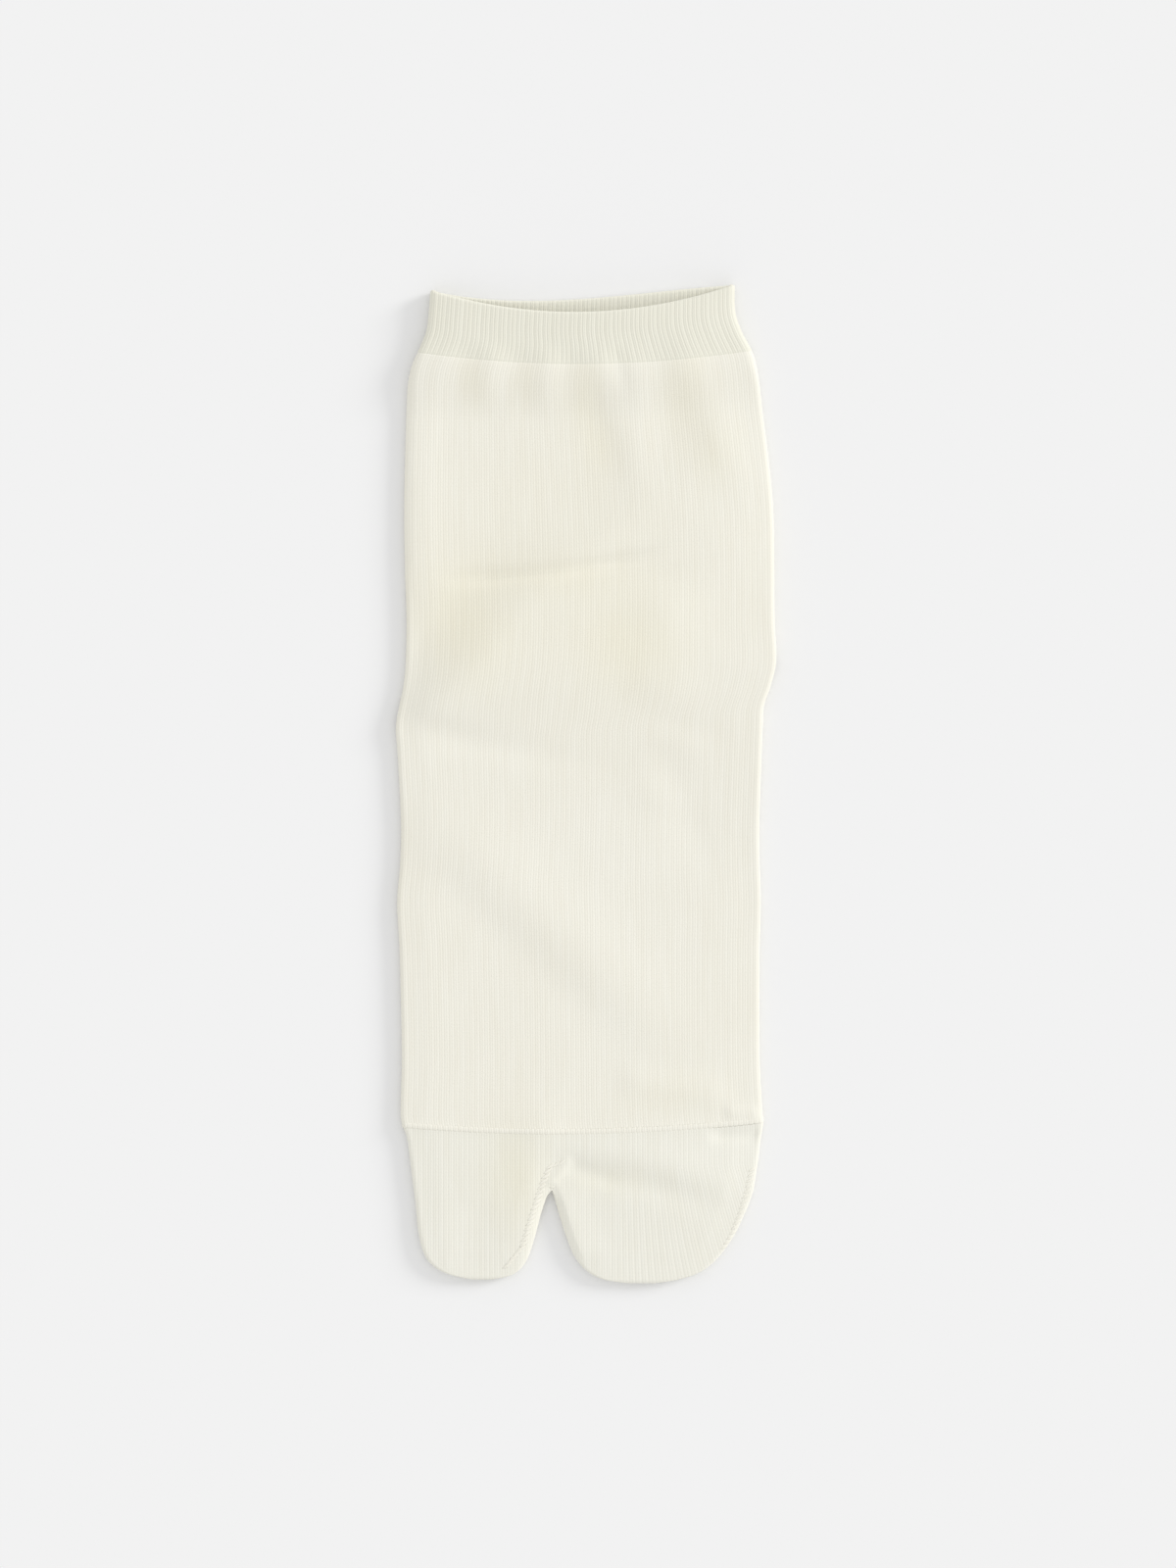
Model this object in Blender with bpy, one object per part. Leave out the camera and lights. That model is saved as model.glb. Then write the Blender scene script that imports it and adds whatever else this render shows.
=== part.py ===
"""A knitted tabi sock, lying flat with its instep up and its toes towards -Y.

The frame's origin is the middle of the sock's outline, on the surface it lies on. +X runs across
the sock, +Y towards the cuff and +Z up. Four solids make the sock: the ribbed cuff, the tube of the
leg and foot, the heel pocket folded flat under the leg, and the split toe. The cuff, tube and toe
are real walls round a collapsed hollow: a back panel on the floor, a front panel on top of it and
rounded folds at the sides. All tables and sizes are in millimetres; the meshes are in metres.
"""

import math
from collections import namedtuple

import bmesh
import bpy

MM = 0.001

# Knitting.
WALES = 144  # needles round the tube
RIBS = WALES // 2  # the cuff is a one by one rib
KNIT_WALL = 1.2
CUFF_WALL = 1.8  # the cuff is turned in double
RIB_RELIEF = 0.45
SEAM_GAP = 0.3  # between neighbouring solids

# Half of the folded thickness at the side edges: the foot's, and the cuff's.
FOOT_HALF = 1.6
CUFF_HALF = 2.3

# The side edges of the cuff, leg and foot, seen from above.
Edge = namedtuple("Edge", "y left right")
TUBE_EDGES = (
    Edge(127.5, -39.6, 37.9),
    Edge(120.0, -40.1, 38.1),
    Edge(115.0, -40.8, 39.8),
    Edge(110.0, -42.9, 42.4),
    Edge(106.5, -44.4, 43.4),
    Edge(102.0, -45.4, 44.2),
    Edge(95.0, -45.8, 45.0),
    Edge(85.0, -46.1, 46.3),
    Edge(70.0, -46.4, 47.7),
    Edge(55.0, -46.2, 48.0),
    Edge(42.0, -45.8, 48.1),
    Edge(31.0, -46.0, 48.5),
    Edge(25.0, -46.6, 47.2),
    Edge(20.0, -47.7, 45.4),
    Edge(15.0, -48.5, 45.1),
    Edge(8.0, -48.1, 44.8),
    Edge(-10.0, -47.2, 44.2),
    Edge(-20.0, -47.4, 44.3),
    Edge(-30.0, -48.2, 44.6),
    Edge(-42.0, -47.6, 44.3),
    Edge(-70.0, -47.0, 44.3),
    Edge(-82.0, -47.3, 44.9),
    Edge(-86.0, -47.1, 45.2),
    Edge(-90.0, -45.7, 44.6),
    Edge(-95.0, -45.0, 44.0),
    Edge(-103.5, -43.9, 42.7),
)

# The two pockets below the crotch of the toe.
CROTCH_X = -8.7
CROTCH_Y = -103.5
BIG_TOE = (
    Edge(-103.5, -43.9, CROTCH_X),
    Edge(-105.0, -43.7, -9.9),
    Edge(-107.5, -43.4, -10.8),
    Edge(-110.0, -43.2, -11.6),
    Edge(-115.0, -42.6, -12.9),
    Edge(-120.0, -41.2, -14.5),
    Edge(-122.5, -39.3, -15.8),
    Edge(-124.5, -36.2, -17.8),
    Edge(-125.5, -33.0, -20.0),
    Edge(-126.3, -29.0, -24.0),
)
OTHER_TOES = (
    Edge(-103.5, CROTCH_X, 42.7),
    Edge(-105.0, -8.2, 42.2),
    Edge(-107.5, -7.5, 41.3),
    Edge(-110.0, -6.8, 40.2),
    Edge(-115.0, -5.2, 37.8),
    Edge(-120.0, -3.2, 34.3),
    Edge(-123.0, -1.0, 31.2),
    Edge(-125.0, 1.5, 27.8),
    Edge(-126.4, 5.0, 23.0),
    Edge(-127.25, 10.5, 17.5),
)

# The rims and seams that cross the sock: the height at the side edges, how much higher the right
# edge is than the middle, and how far the front and the back panel sag below it in the middle.
Crossing = namedtuple("Crossing", "y skew front_sag back_sag")
MOUTH = Crossing(126.5, 0.7, 6.4, 3.3)
CUFF_SEAM = Crossing(109.75, 0.25, 3.2, 1.2)
TOE_SEAM = Crossing(-86.8, 1.0, 0.9, 0.0)
CROSSINGS = (
    MOUTH,
    CUFF_SEAM,
    Crossing(66.0, 3.0, 0.0, 0.0),
    Crossing(36.0, 7.0, 0.0, 0.0),
    Crossing(10.0, 7.0, 0.0, 0.0),
    Crossing(-20.0, 3.0, 0.0, 0.0),
    TOE_SEAM,
    Crossing(CROTCH_Y, 0.0, 0.0, 0.0),
)

# The heel pocket, folded flat towards the cuff: its hinge, its far edge and its slanting sides.
HEEL_THICK = 2 * KNIT_WALL + 0.1
HEEL_CLEARANCE = 0.5  # between the pocket and the panel that is draped over it
HEEL_SLOPE = 0.145
HEEL_HINGE = 22.5
HEEL_FAR = 51.6
HEEL_SIDES = (((-47.5, 15.0), (-16.5, 49.0)), ((12.0, 53.5), (47.5, 29.5)))
HEEL_ROUNDING = 2.5
HEEL_WEDGE = 4.5  # the pocket's root fills the space under the sole's step
HEEL_HALF_WIDTH = 46.6
DRAPE_UNDER = 9.5  # how far the back panel takes to come down off the heel pocket
DRAPE_OVER = 12.0  # the same for the front panel
INSTEP_EASE = 0.9  # towards the toes the front panel comes down more gently on the right

# Where the front panel stands up: gentle bulges of trapped air.
Bulge = namedtuple("Bulge", "x y reach_x reach_y height")
BULGES = (
    Bulge(0, 122, 26, 10, 1.4),
    Bulge(0, 104, 30, 9, 0.7),
    Bulge(-3, 82, 30, 18, 0.5),
    Bulge(2, 12, 30, 13, 0.6),
    Bulge(20, 37, 10, 12, 0.4),
    Bulge(-4, -45, 34, 32, 0.5),
    Bulge(17, -110, 22, 12, 0.6),
)

# Ridges (positive) and troughs of the front panel, and of the back panel that faces the floor.
# Each runs from its first point to its last, bowed to its left, and fades at both ends.
Fold = namedtuple("Fold", "x0 y0 x1 y1 bow width height")
GATHERS = (
    Fold(-28.0, 111.0, -32.5, 97.0, 0.0, 3.0, -0.8),
    Fold(-13.5, 109.5, -17.5, 97.5, 0.0, 3.0, -0.7),
    Fold(-4.5, 109.5, 3.0, 76.0, 1.5, 3.6, -0.9),
    Fold(5.0, 109.0, 12.5, 98.0, 0.0, 2.4, -0.5),
    Fold(20.0, 111.5, 33.5, 81.0, 0.0, 4.2, -0.9),
    Fold(14.5, 109.0, 13.5, 70.0, 0.0, 4.2, 0.6),
    Fold(-21.5, 108.0, -25.0, 96.0, 0.0, 2.6, 0.4),
    Fold(-9.5, 108.5, -8.5, 97.0, 0.0, 2.4, 0.4),
)
BACK_GATHERS = (
    Fold(-33.0, 108.0, -31.0, 94.0, 0.0, 3.0, 0.4),
    Fold(-18.0, 108.0, -21.0, 88.0, 0.0, 3.4, 0.5),
    Fold(-3.0, 108.0, -2.0, 96.0, 0.0, 3.0, 0.4),
    Fold(11.0, 108.0, 15.0, 84.0, 0.0, 3.6, 0.5),
    Fold(27.0, 108.0, 25.0, 95.0, 0.0, 3.0, 0.4),
)
CREASES = (
    Fold(-24.0, 50.5, 15.0, 56.0, 0.8, 2.0, -0.45),
    Fold(-49.0, 16.5, 16.0, 0.0, -2.5, 4.0, -0.5),
    Fold(-47.0, 8.0, 22.0, -55.0, -4.0, 6.5, 0.7),
    Fold(-40.0, -14.0, 10.0, -64.0, -2.0, 5.0, -0.4),
    Fold(30.0, 12.0, 44.0, -16.0, 0.0, 5.0, -0.3),
    Fold(12.0, -80.5, 34.0, -83.0, 0.0, 3.5, -0.4),
    Fold(33.0, -84.0, 46.0, -83.6, 0.0, 2.0, 0.5),
    Fold(32.0, -88.6, 44.0, -88.4, 0.0, 1.5, -0.5),
    Fold(-1.5, -97.0, 36.0, -106.5, 1.0, 3.2, -0.7),
    Fold(-11.0, -88.0, -21.0, -119.0, 1.5, 4.0, -0.4),
    Fold(-38.5, -92.0, -35.0, -119.0, 0.0, 4.5, 0.5),
    Fold(-10.5, -98.0, -18.5, -122.0, 0.0, 1.7, 0.8),
    Fold(-5.5, -101.0, 1.0, -121.0, 0.0, 3.0, 0.7),
)
EDGE_ROLL = 0.35  # the springy side folds stand a little higher than the middle
EDGE_ROLL_INLAND = 4.5
SEAM_RIDGE = 0.35
SEAM_RIDGE_WIDTH = 1.2

# Mesh density. The rings of the tube are close together where it gathers and folds.
CUFF_POINTS_PER_RIB = 4
CUFF_ROWS = 5
ARC_STEPS = 4
TUBE_COLUMNS = 20
Run = namedtuple("Run", "end outer_rings inner_rings")
TUBE_RUNS = (
    Run(80.0, 10, 5),
    Run(62.0, 4, 3),
    Run(34.0, 7, 7),
    Run(8.0, 12, 12),
    Run(-5.0, 3, 3),
    Run(-70.0, 12, 6),
    Run(-84.0, 3, 2),
    Run(-86.65, 2, 1),
)
TOE_COLUMNS = (7, 9)  # on the big toe's side, and on the other toes' side
TOE_ROWS = (0.0, 0.08, 0.22, 0.44, 0.7, 1.0)  # from the seam to the crotch
POCKET_ROWS = (0.0, 0.035, 0.09, 0.2, 0.36, 0.54, 0.7, 0.83, 0.92, 0.968, 0.992, 1.0)
HEEL_COLUMNS = 14
HEEL_ROWS = 12


def blend(low, high, value):
    """0 below low, 1 above high and a smooth step between."""
    t = min(1.0, max(0.0, (value - low) / (high - low)))
    return t * t * (3 - 2 * t)


def read(table, y, column):
    """The table's column at y, on a smooth curve through the rows, which run down in y."""
    last = len(table) - 1
    if y >= table[0].y:
        return getattr(table[0], column)
    if y <= table[last].y:
        return getattr(table[last], column)
    k = next(i for i in range(last) if table[i + 1].y <= y)

    def value(i):
        return getattr(table[i], column)

    def slope(i):
        a, b = max(i - 1, 0), min(i + 1, last)
        return (value(b) - value(a)) / (table[b].y - table[a].y)

    step = table[k + 1].y - table[k].y
    t = (y - table[k].y) / step
    start, end = slope(k) * step, slope(k + 1) * step
    return (
        value(k) * (2 * t**3 - 3 * t**2 + 1)
        + start * (t**3 - 2 * t**2 + t)
        + value(k + 1) * (3 * t**2 - 2 * t**3)
        + end * (t**3 - t**2)
    )


def even_steps(start, end, count):
    """That many numbers after start, evenly spaced, the last of them end."""
    return [start + (end - start) * i / count for i in range(1, count + 1)]


def fold_height(fold, x, y):
    """What one fold adds at (x, y)."""
    run_x, run_y = fold.x1 - fold.x0, fold.y1 - fold.y0
    length = math.hypot(run_x, run_y)
    t = ((x - fold.x0) * run_x + (y - fold.y0) * run_y) / length**2
    aside = ((x - fold.x0) * run_y - (y - fold.y0) * run_x) / length
    aside += 4 * t * (1 - t) * fold.bow
    ends = blend(-0.2, 0.15, t) * (1 - blend(0.55, 1.2, t))
    return fold.height * ends * math.exp(-((aside / fold.width) ** 2))


def bulge_height(x, y):
    return sum(
        b.height * math.exp(-(((x - b.x) / b.reach_x) ** 2) - ((y - b.y) / b.reach_y) ** 2)
        for b in BULGES
    )


def beyond_sides(x, y):
    """How far (x, y) lies beyond the heel pocket's far edge and beyond each slanting side."""
    distances = [y - HEEL_SLOPE * x - HEEL_FAR]
    for (x0, y0), (x1, y1) in HEEL_SIDES:
        length = math.hypot(x1 - x0, y1 - y0)
        distances.append(((x - x0) * (y0 - y1) + (y - y0) * (x1 - x0)) / length)
    return distances


def rounded(distances):
    """The greatest of the distances, with rounded corners between them."""
    total = sum(math.exp(min(d, 60.0) / HEEL_ROUNDING) for d in distances)
    return math.log(total) * HEEL_ROUNDING


def outside_heel(x, y, hinge_ease=1.0):
    """How far (x, y) lies outside the folded heel pocket, negative inside it."""
    beyond_hinge = (HEEL_HINGE + HEEL_SLOPE * x - y) * hinge_ease
    return rounded([beyond_hinge] + beyond_sides(x, y))


def lift_under(x, y):
    """How far the back panel is held up by the heel pocket under it."""
    return (HEEL_THICK + HEEL_CLEARANCE) * (1 - blend(0.0, DRAPE_UNDER, outside_heel(x, y)))


def lift_over(x, y):
    """How far the front panel is held up by the heel pocket."""
    outside = outside_heel(x, y, INSTEP_EASE - x / 100)
    return (HEEL_THICK + HEEL_CLEARANCE) * (1 - blend(0.0, DRAPE_OVER, outside))


def course_shift(x, y, top):
    """How far the course at y bends away from it at x, on the front panel where top is 1."""
    skew, front_sag, back_sag = (
        read(CROSSINGS, y, column) for column in ("skew", "front_sag", "back_sag")
    )
    left, right = read(TUBE_EDGES, y, "left"), read(TUBE_EDGES, y, "right")
    across = (2 * x - left - right) / (right - left)
    return skew * across - (front_sag * top + back_sag * (1 - top)) * (1 - across**2)


def seam_ridge(x, y):
    """The linked seam round the top of the toe stands up as a thin ridge."""
    aside = y - TOE_SEAM.y - course_shift(x, TOE_SEAM.y, 1.0)
    return SEAM_RIDGE * math.exp(-((aside / SEAM_RIDGE_WIDTH) ** 2))


def front_relief(x, y, inland):
    """How far the front panel stands above a plain flattened tube, inland being the distance from
    the nearest edge."""
    folds = sum(fold_height(fold, x, y) for fold in GATHERS + CREASES)
    roll = EDGE_ROLL * math.exp(-(((inland - EDGE_ROLL_INLAND) / 3.0) ** 2))
    return (
        roll * (1 - blend(108.0, 112.0, y))
        + blend(0.0, 8.0, inland) * bulge_height(x, y)
        + blend(0.0, 2.5, inland) * folds
        + blend(-1.0, 1.5, inland) * seam_ridge(x, y)
    )


def back_relief(x, y, inland):
    """How far the back panel rises off the floor in its own gathers."""
    return blend(0.0, 2.5, inland) * sum(fold_height(fold, x, y) for fold in BACK_GATHERS)


def half_at(y):
    """Half of the folded thickness, which grows towards the cuff."""
    return FOOT_HALF + (CUFF_HALF - FOOT_HALF) * blend(94.0, 109.0, y)


Station = namedtuple("Station", "x rise across up")  # a point of a section and its normal


def arc(centre, half, start, end, steps, squash=1.0):
    """Stations on a fold's arc, without its last. A squash of 0 makes the arc a vertical line."""
    stations = []
    for i in range(steps):
        angle = start + (end - start) * i / steps
        across, up = squash * math.cos(angle), math.sin(angle)
        stations.append(Station(centre + half * across, half * up, across, up))
    return stations


def flattened(left, right, half, columns, squash_left=1.0, squash_right=1.0, split=None):
    """The stations round a flattened tube, from the middle of its left fold over the front. A split
    is the x that divides the columns into two runs, and columns is then a pair."""
    start, end = left + half * squash_left, right - half * squash_right
    if split is None:
        xs = [start] + even_steps(start, end, columns)
    else:
        xs = [start] + even_steps(start, split, columns[0]) + even_steps(split, end, columns[1])
    quarter = ARC_STEPS // 2
    front = [Station(x, half, 0.0, 1.0) for x in xs[:-1]]
    back = [Station(x, -half, 0.0, -1.0) for x in xs[:0:-1]]
    ring = arc(start, half, math.pi, math.pi / 2, quarter, squash_left)
    ring += front + arc(end, half, math.pi / 2, -math.pi / 2, ARC_STEPS, squash_right)
    return ring + back + arc(start, half, -math.pi / 2, -math.pi, quarter, squash_left)


def settle(station, y, half, inland, raised=0.0):
    """The point of the sock at one station of a section of that half thickness, raised off it."""
    x = station.x
    middle = half_at(y)
    top = min(1.0, max(0.0, 0.5 + 0.5 * station.rise / half))
    y = y + course_shift(x, y, top)
    over = lift_over(x, y) + front_relief(x, y, inland)
    under = lift_under(x, y) + back_relief(x, y, inland)
    z = middle + station.rise + top * over + (1 - top) * under
    return (x + raised * station.across, y, z + raised * station.up)


def tube_sides(y):
    """The side edges of the course at y, which is skewed."""
    skew = read(CROSSINGS, y, "skew")
    return read(TUBE_EDGES, y - skew, "left"), read(TUBE_EDGES, y + skew, "right")


def tube_ring(y, wall=0.0):
    """One ring of the tube, on its outside or wall inside it."""
    left, right = tube_sides(y)
    half = half_at(y) - wall
    return [
        settle(s, y, half, min(s.x - left, right - s.x))
        for s in flattened(left + wall, right - wall, half, TUBE_COLUMNS)
    ]


def rib_ring(y, points, wall=0.0, relief=0.0):
    """One ring of the cuff, its points evenly spaced all round, with the ribs' relief."""
    left, right = tube_sides(y)
    half = half_at(y)
    flat, bend = right - left - 2 * half, math.pi * half
    ring = []
    for i in range(points):
        along = i / points * 2 * (flat + bend) - bend / 2
        if 0 <= along < flat:
            station = Station(left + half + along, half, 0.0, 1.0)
        elif flat <= along < flat + bend:
            station = arc(right - half, half, math.pi / 2 - (along - flat) / half, 0, 1)[0]
        elif flat + bend <= along < 2 * flat + bend:
            station = Station(right - half - (along - flat - bend), -half, 0.0, -1.0)
        else:
            turned = along if along < 0 else along - 2 * (flat + bend)
            station = arc(left + half, half, math.pi / 2 - turned / half, 0, 1)[0]
        inland = min(station.x - left, right - station.x)
        rib = relief * 0.5 * (math.cos(2 * math.pi * i / CUFF_POINTS_PER_RIB) - 1)
        ring.append(settle(station, y, half, inland, rib - wall))
    return ring


def skin(mesh, rings):
    """Lofts closed rings of equal count and gives back their vertices."""
    made = [[mesh.verts.new([c * MM for c in point]) for point in ring] for ring in rings]
    for ring, following in zip(made, made[1:]):
        for i in range(len(ring)):
            j = (i + 1) % len(ring)
            mesh.faces.new((ring[i], ring[j], following[j], following[i]))
    return made


def rim(mesh, big, small):
    """Joins two rings across the wall; the small one may have fewer points by a whole factor."""
    factor = len(big) // len(small)
    for i, corner in enumerate(small):
        following = small[(i + 1) % len(small)]
        run = [big[(i * factor + k) % len(big)] for k in range(factor + 1)]
        if factor == 1:
            mesh.faces.new((run[0], run[1], following, corner))
            continue
        half = factor // 2
        for k in range(factor):
            mesh.faces.new((run[k], run[k + 1], corner if k < half else following))
        mesh.faces.new((corner, run[half], following))


def close_flat(mesh, ring):
    """Closes a flattened ring with a strip between its front and its back."""
    count = len(ring)
    mesh.faces.new((ring[0], ring[1], ring[-1]))
    for i in range(1, count // 2 - 1):
        mesh.faces.new((ring[i], ring[i + 1], ring[count - i - 1], ring[count - i]))
    middle = count // 2
    mesh.faces.new((ring[middle - 1], ring[middle], ring[middle + 1]))


def add_object(name, mesh):
    """The bmesh as a smooth-shaded object in the sock's collection."""
    bmesh.ops.recalc_face_normals(mesh, faces=mesh.faces[:])
    data = bpy.data.meshes.new(name)
    mesh.to_mesh(data)
    mesh.free()
    data.shade_smooth()
    made = bpy.data.objects.new(name, data)
    bpy.data.collections["tabi_sock"].objects.link(made)
    return made


def wall_object(name, outer, inner):
    """A wall that is open at both ends, from its outer and its inner rings."""
    mesh = bmesh.new()
    outside, inside = skin(mesh, outer), skin(mesh, inner)
    rim(mesh, outside[0], inside[0])
    rim(mesh, outside[-1], inside[-1])
    return add_object(name, mesh)


def make_cuff():
    """The cuff: raised ribs outside a plain wall, open at the mouth."""
    seam = CUFF_SEAM.y + SEAM_GAP / 2
    outer_ys = [MOUTH.y] + even_steps(MOUTH.y, seam, CUFF_ROWS - 1)
    inner_ys = [MOUTH.y] + even_steps(MOUTH.y, seam, CUFF_ROWS - 2)
    points = RIBS * CUFF_POINTS_PER_RIB
    outer = [rib_ring(y, points, relief=RIB_RELIEF) for y in outer_ys]
    inner = [rib_ring(y, RIBS, wall=CUFF_WALL) for y in inner_ys]
    return wall_object("cuff", outer, inner)


def make_tube():
    """The leg and foot in one tube, draped over the folded heel pocket."""
    top = CUFF_SEAM.y - SEAM_GAP / 2
    outer_ys, inner_ys = [top], [top]
    for run in TUBE_RUNS:
        outer_ys += even_steps(outer_ys[-1], run.end, run.outer_rings)
        inner_ys += even_steps(inner_ys[-1], run.end, run.inner_rings)
    outer = [tube_ring(y) for y in outer_ys]
    inner = [tube_ring(y, KNIT_WALL) for y in inner_ys]
    return wall_object("leg_and_foot", outer, inner)


def toe_inland(x, y, left, right):
    """How far (x, y) is from the nearest edge of the toe, the crotch being an edge too."""
    from_crotch = math.hypot(x - CROTCH_X, y - CROTCH_Y) if y > CROTCH_Y - 0.01 else 50.0
    return min(x - left, right - x, from_crotch)


def toe_ring(y, wall):
    """A ring of the toe above the crotch, with a column over the crotch."""
    left, right = tube_sides(y)
    half = FOOT_HALF - wall
    return [
        settle(s, y, half, toe_inland(s.x, y, left, right))
        for s in flattened(left + wall, right - wall, half, TOE_COLUMNS, split=CROTCH_X)
    ]


def steepness(table, y, column):
    """How much longer a step along the pocket's edge at y is than its height."""
    run = read(table, y + 0.5, column) - read(table, y - 0.5, column)
    return math.sqrt(1 + run**2)


def pocket_ring(table, y, squash, wall):
    """A ring of one pocket. Its fold beside the crotch is squashed to a vertical line at first, a
    line that both pockets share."""
    on_left = table is BIG_TOE
    short = max(0.0, 1 - (y - table[-1].y) / FOOT_HALF)
    half = FOOT_HALF * math.sqrt(max(0.04, 1 - short**2)) - wall
    if y > CROTCH_Y:
        edges = tube_sides(y)
        left, right = (edges[0], CROTCH_X) if on_left else (CROTCH_X, edges[1])
    else:
        edges = left, right = read(table, y, "left"), read(table, y, "right")
    squashes = (1.0, squash) if on_left else (squash, 1.0)
    left += wall * squashes[0] * steepness(table, y, "left")
    right -= wall * squashes[1] * steepness(table, y, "right")
    columns = TOE_COLUMNS[0] if on_left else TOE_COLUMNS[1]
    ring = []
    for s in flattened(left, right, half, columns, *squashes):
        inland = min(toe_inland(s.x, y, *edges), y - table[-1].y)
        ring.append(settle(s, y, half, inland))
    return ring


def pocket_rings(table, first, wall):
    """The rings of one pocket from the crotch to its tip."""
    last = table[-1].y + (FOOT_HALF if wall else 0.0)
    return [
        pocket_ring(table, first + (last - first) * share, 1.0 if share else 0.0, wall)
        for share in POCKET_ROWS
    ]


def toe_skin(mesh, wall):
    """One skin of the toe: the rings above the crotch, then the two closed pockets."""
    top = TOE_SEAM.y - SEAM_GAP / 2
    crotch = CROTCH_Y + wall
    made = skin(mesh, [toe_ring(top + (crotch - top) * share, wall) for share in TOE_ROWS])
    for table in (BIG_TOE, OTHER_TOES):
        close_flat(mesh, skin(mesh, pocket_rings(table, crotch, wall))[-1])
    return made[0]


def make_toe():
    """The split toe, open where it meets the foot."""
    mesh = bmesh.new()
    rim(mesh, toe_skin(mesh, 0.0), toe_skin(mesh, KNIT_WALL))
    bmesh.ops.remove_doubles(mesh, verts=mesh.verts[:], dist=0.00001)
    return add_object("toe", mesh)


def heel_side(tilted, side):
    """Where the pocket's outline is on a line parallel to its hinge, on the side of -1 or 1."""
    near, far = 0.0, side * 60.0
    for _ in range(40):
        x = (near + far) / 2
        if rounded(beyond_sides(x, tilted + HEEL_SLOPE * x)) < 0.0:
            near = x
        else:
            far = x
    return max(-HEEL_HALF_WIDTH, min(HEEL_HALF_WIDTH, near))


def make_heel():
    """The heel pocket: two layers pressed flat into one rounded solid, its root a blunt wedge."""
    mesh = bmesh.new()
    full = HEEL_THICK / 2
    root, end = HEEL_HINGE - HEEL_WEDGE, HEEL_FAR - full
    tilts = [(root, 0.0)] + [(t, 0.0) for t in even_steps(root, end, HEEL_ROWS)]
    tilts += [(end + full * math.sin(math.radians(a)), math.radians(a)) for a in (35, 60, 78)]
    rings = []
    for tilted, angle in tilts:
        left = heel_side(min(tilted, HEEL_FAR - 0.2), -1)
        right = heel_side(min(tilted, HEEL_FAR - 0.2), 1)
        half = min(full, (lift_under(0.0, tilted) - HEEL_CLEARANCE) / 2) * math.cos(angle)
        ring = []
        for s in flattened(left, right, half, HEEL_COLUMNS):
            y = tilted + HEEL_SLOPE * s.x
            middle = half if angle == 0.0 else full
            ring.append((s.x, y, min(middle + s.rise, lift_under(s.x, y) - HEEL_CLEARANCE)))
        rings.append(ring)
    made = skin(mesh, rings)
    close_flat(mesh, made[0])
    close_flat(mesh, made[-1])
    return add_object("heel", mesh)


def knit_material(name, colour):
    material = bpy.data.materials.new(name)
    material.use_nodes = True
    shader = material.node_tree.nodes["Principled BSDF"]
    shader.inputs["Base Color"].default_value = (*colour, 1.0)
    shader.inputs["Roughness"].default_value = 0.9
    shader.inputs["Metallic"].default_value = 0.0
    return material


def main():
    for item in list(bpy.data.objects):
        bpy.data.objects.remove(item)
    sock = bpy.data.collections.new("tabi_sock")
    bpy.context.scene.collection.children.link(sock)
    plain = knit_material("cotton_knit", (0.84, 0.81, 0.70))
    ribbed = knit_material("cotton_rib", (0.80, 0.78, 0.66))
    make_cuff().data.materials.append(ribbed)
    for make in (make_tube, make_heel, make_toe):
        make().data.materials.append(plain)


main()
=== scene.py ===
"""The looks of a knitted tabi sock that lies flat with its instep up.

The CAD's four solids give the sizes. Each is replaced by a finer knitted shell on the same form.
The wales of the plain knit and the ribs of the cuff are real relief. The single stitches, the fuzz
and the yarn's unevenness are in the material, which also paints light and shade into the cotton's
colour: lighter on the stitches' backs and darker in their grooves, darker in the dips and around
the heel, and a little darker over the toe. Sizes in the tables are in millimetres, with x to the
sock's right, y up to the cuff and z up from the floor.
"""

import math
from collections import namedtuple
from functools import partial

import bmesh
import bpy
import numpy as np
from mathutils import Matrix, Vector
from mathutils.bvhtree import BVHTree

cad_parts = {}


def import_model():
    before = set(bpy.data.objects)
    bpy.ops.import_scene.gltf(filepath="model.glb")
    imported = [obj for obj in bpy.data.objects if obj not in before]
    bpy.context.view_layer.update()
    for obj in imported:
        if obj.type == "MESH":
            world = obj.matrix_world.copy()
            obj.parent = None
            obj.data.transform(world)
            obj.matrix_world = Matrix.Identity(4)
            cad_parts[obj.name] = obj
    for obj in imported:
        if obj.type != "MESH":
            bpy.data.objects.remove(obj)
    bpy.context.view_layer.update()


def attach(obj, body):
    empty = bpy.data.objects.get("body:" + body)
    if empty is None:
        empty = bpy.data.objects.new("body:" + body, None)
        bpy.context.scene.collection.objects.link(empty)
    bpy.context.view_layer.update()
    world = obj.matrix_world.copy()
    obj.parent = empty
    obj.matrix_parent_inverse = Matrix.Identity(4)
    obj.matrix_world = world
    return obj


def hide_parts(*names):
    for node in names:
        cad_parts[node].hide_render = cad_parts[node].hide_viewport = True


MM = 0.001

# A distance that counts as far away on the sock.
FAR = 60.0

# Knitting. A wale is a column of stitches, a course is a row of them, and a rib takes two wales.
WALES = 144
RIBS = WALES // 2
WALE_PITCH = 1.3
COURSE_PITCH = 1.0
KNIT_WALL = 1.0
CUFF_WALL = 1.6

# The relief of wales and ribs: its depth, and the power that makes their backs narrow (over 1) or
# full. A rib's back has a dip along its middle: its depth and its width, as shares of the rib.
WALE_RELIEF = 0.035
WALE_POWER = 1.2
RIB_RELIEF = 0.11
RIB_POWER = 0.7
RIB_DIP = 0.75
RIB_DIP_WIDTH = 0.1

# The least gap between the front's and the back's linings, the least thickness of the whole sock,
# and how softly the front panel comes to rest on that.
LEAST_HOLLOW = 0.15
LEAST_THICKNESS = 2.1
EASED_LIFT = 0.5

# Half of the folded thickness at the side edges, the foot's and the cuff's, and how much thicker
# the sock is a little way inland. A low squareness makes the folded edge's shoulder sharper.
FOOT_HALF = 1.2
CUFF_HALF = 2.1
CUFF_THICKENS = (94.0, 109.0)
EDGE_RISE = 0.35
EDGE_RISE_INLAND = 8.0
EDGE_SQUARENESS = 0.5

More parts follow.
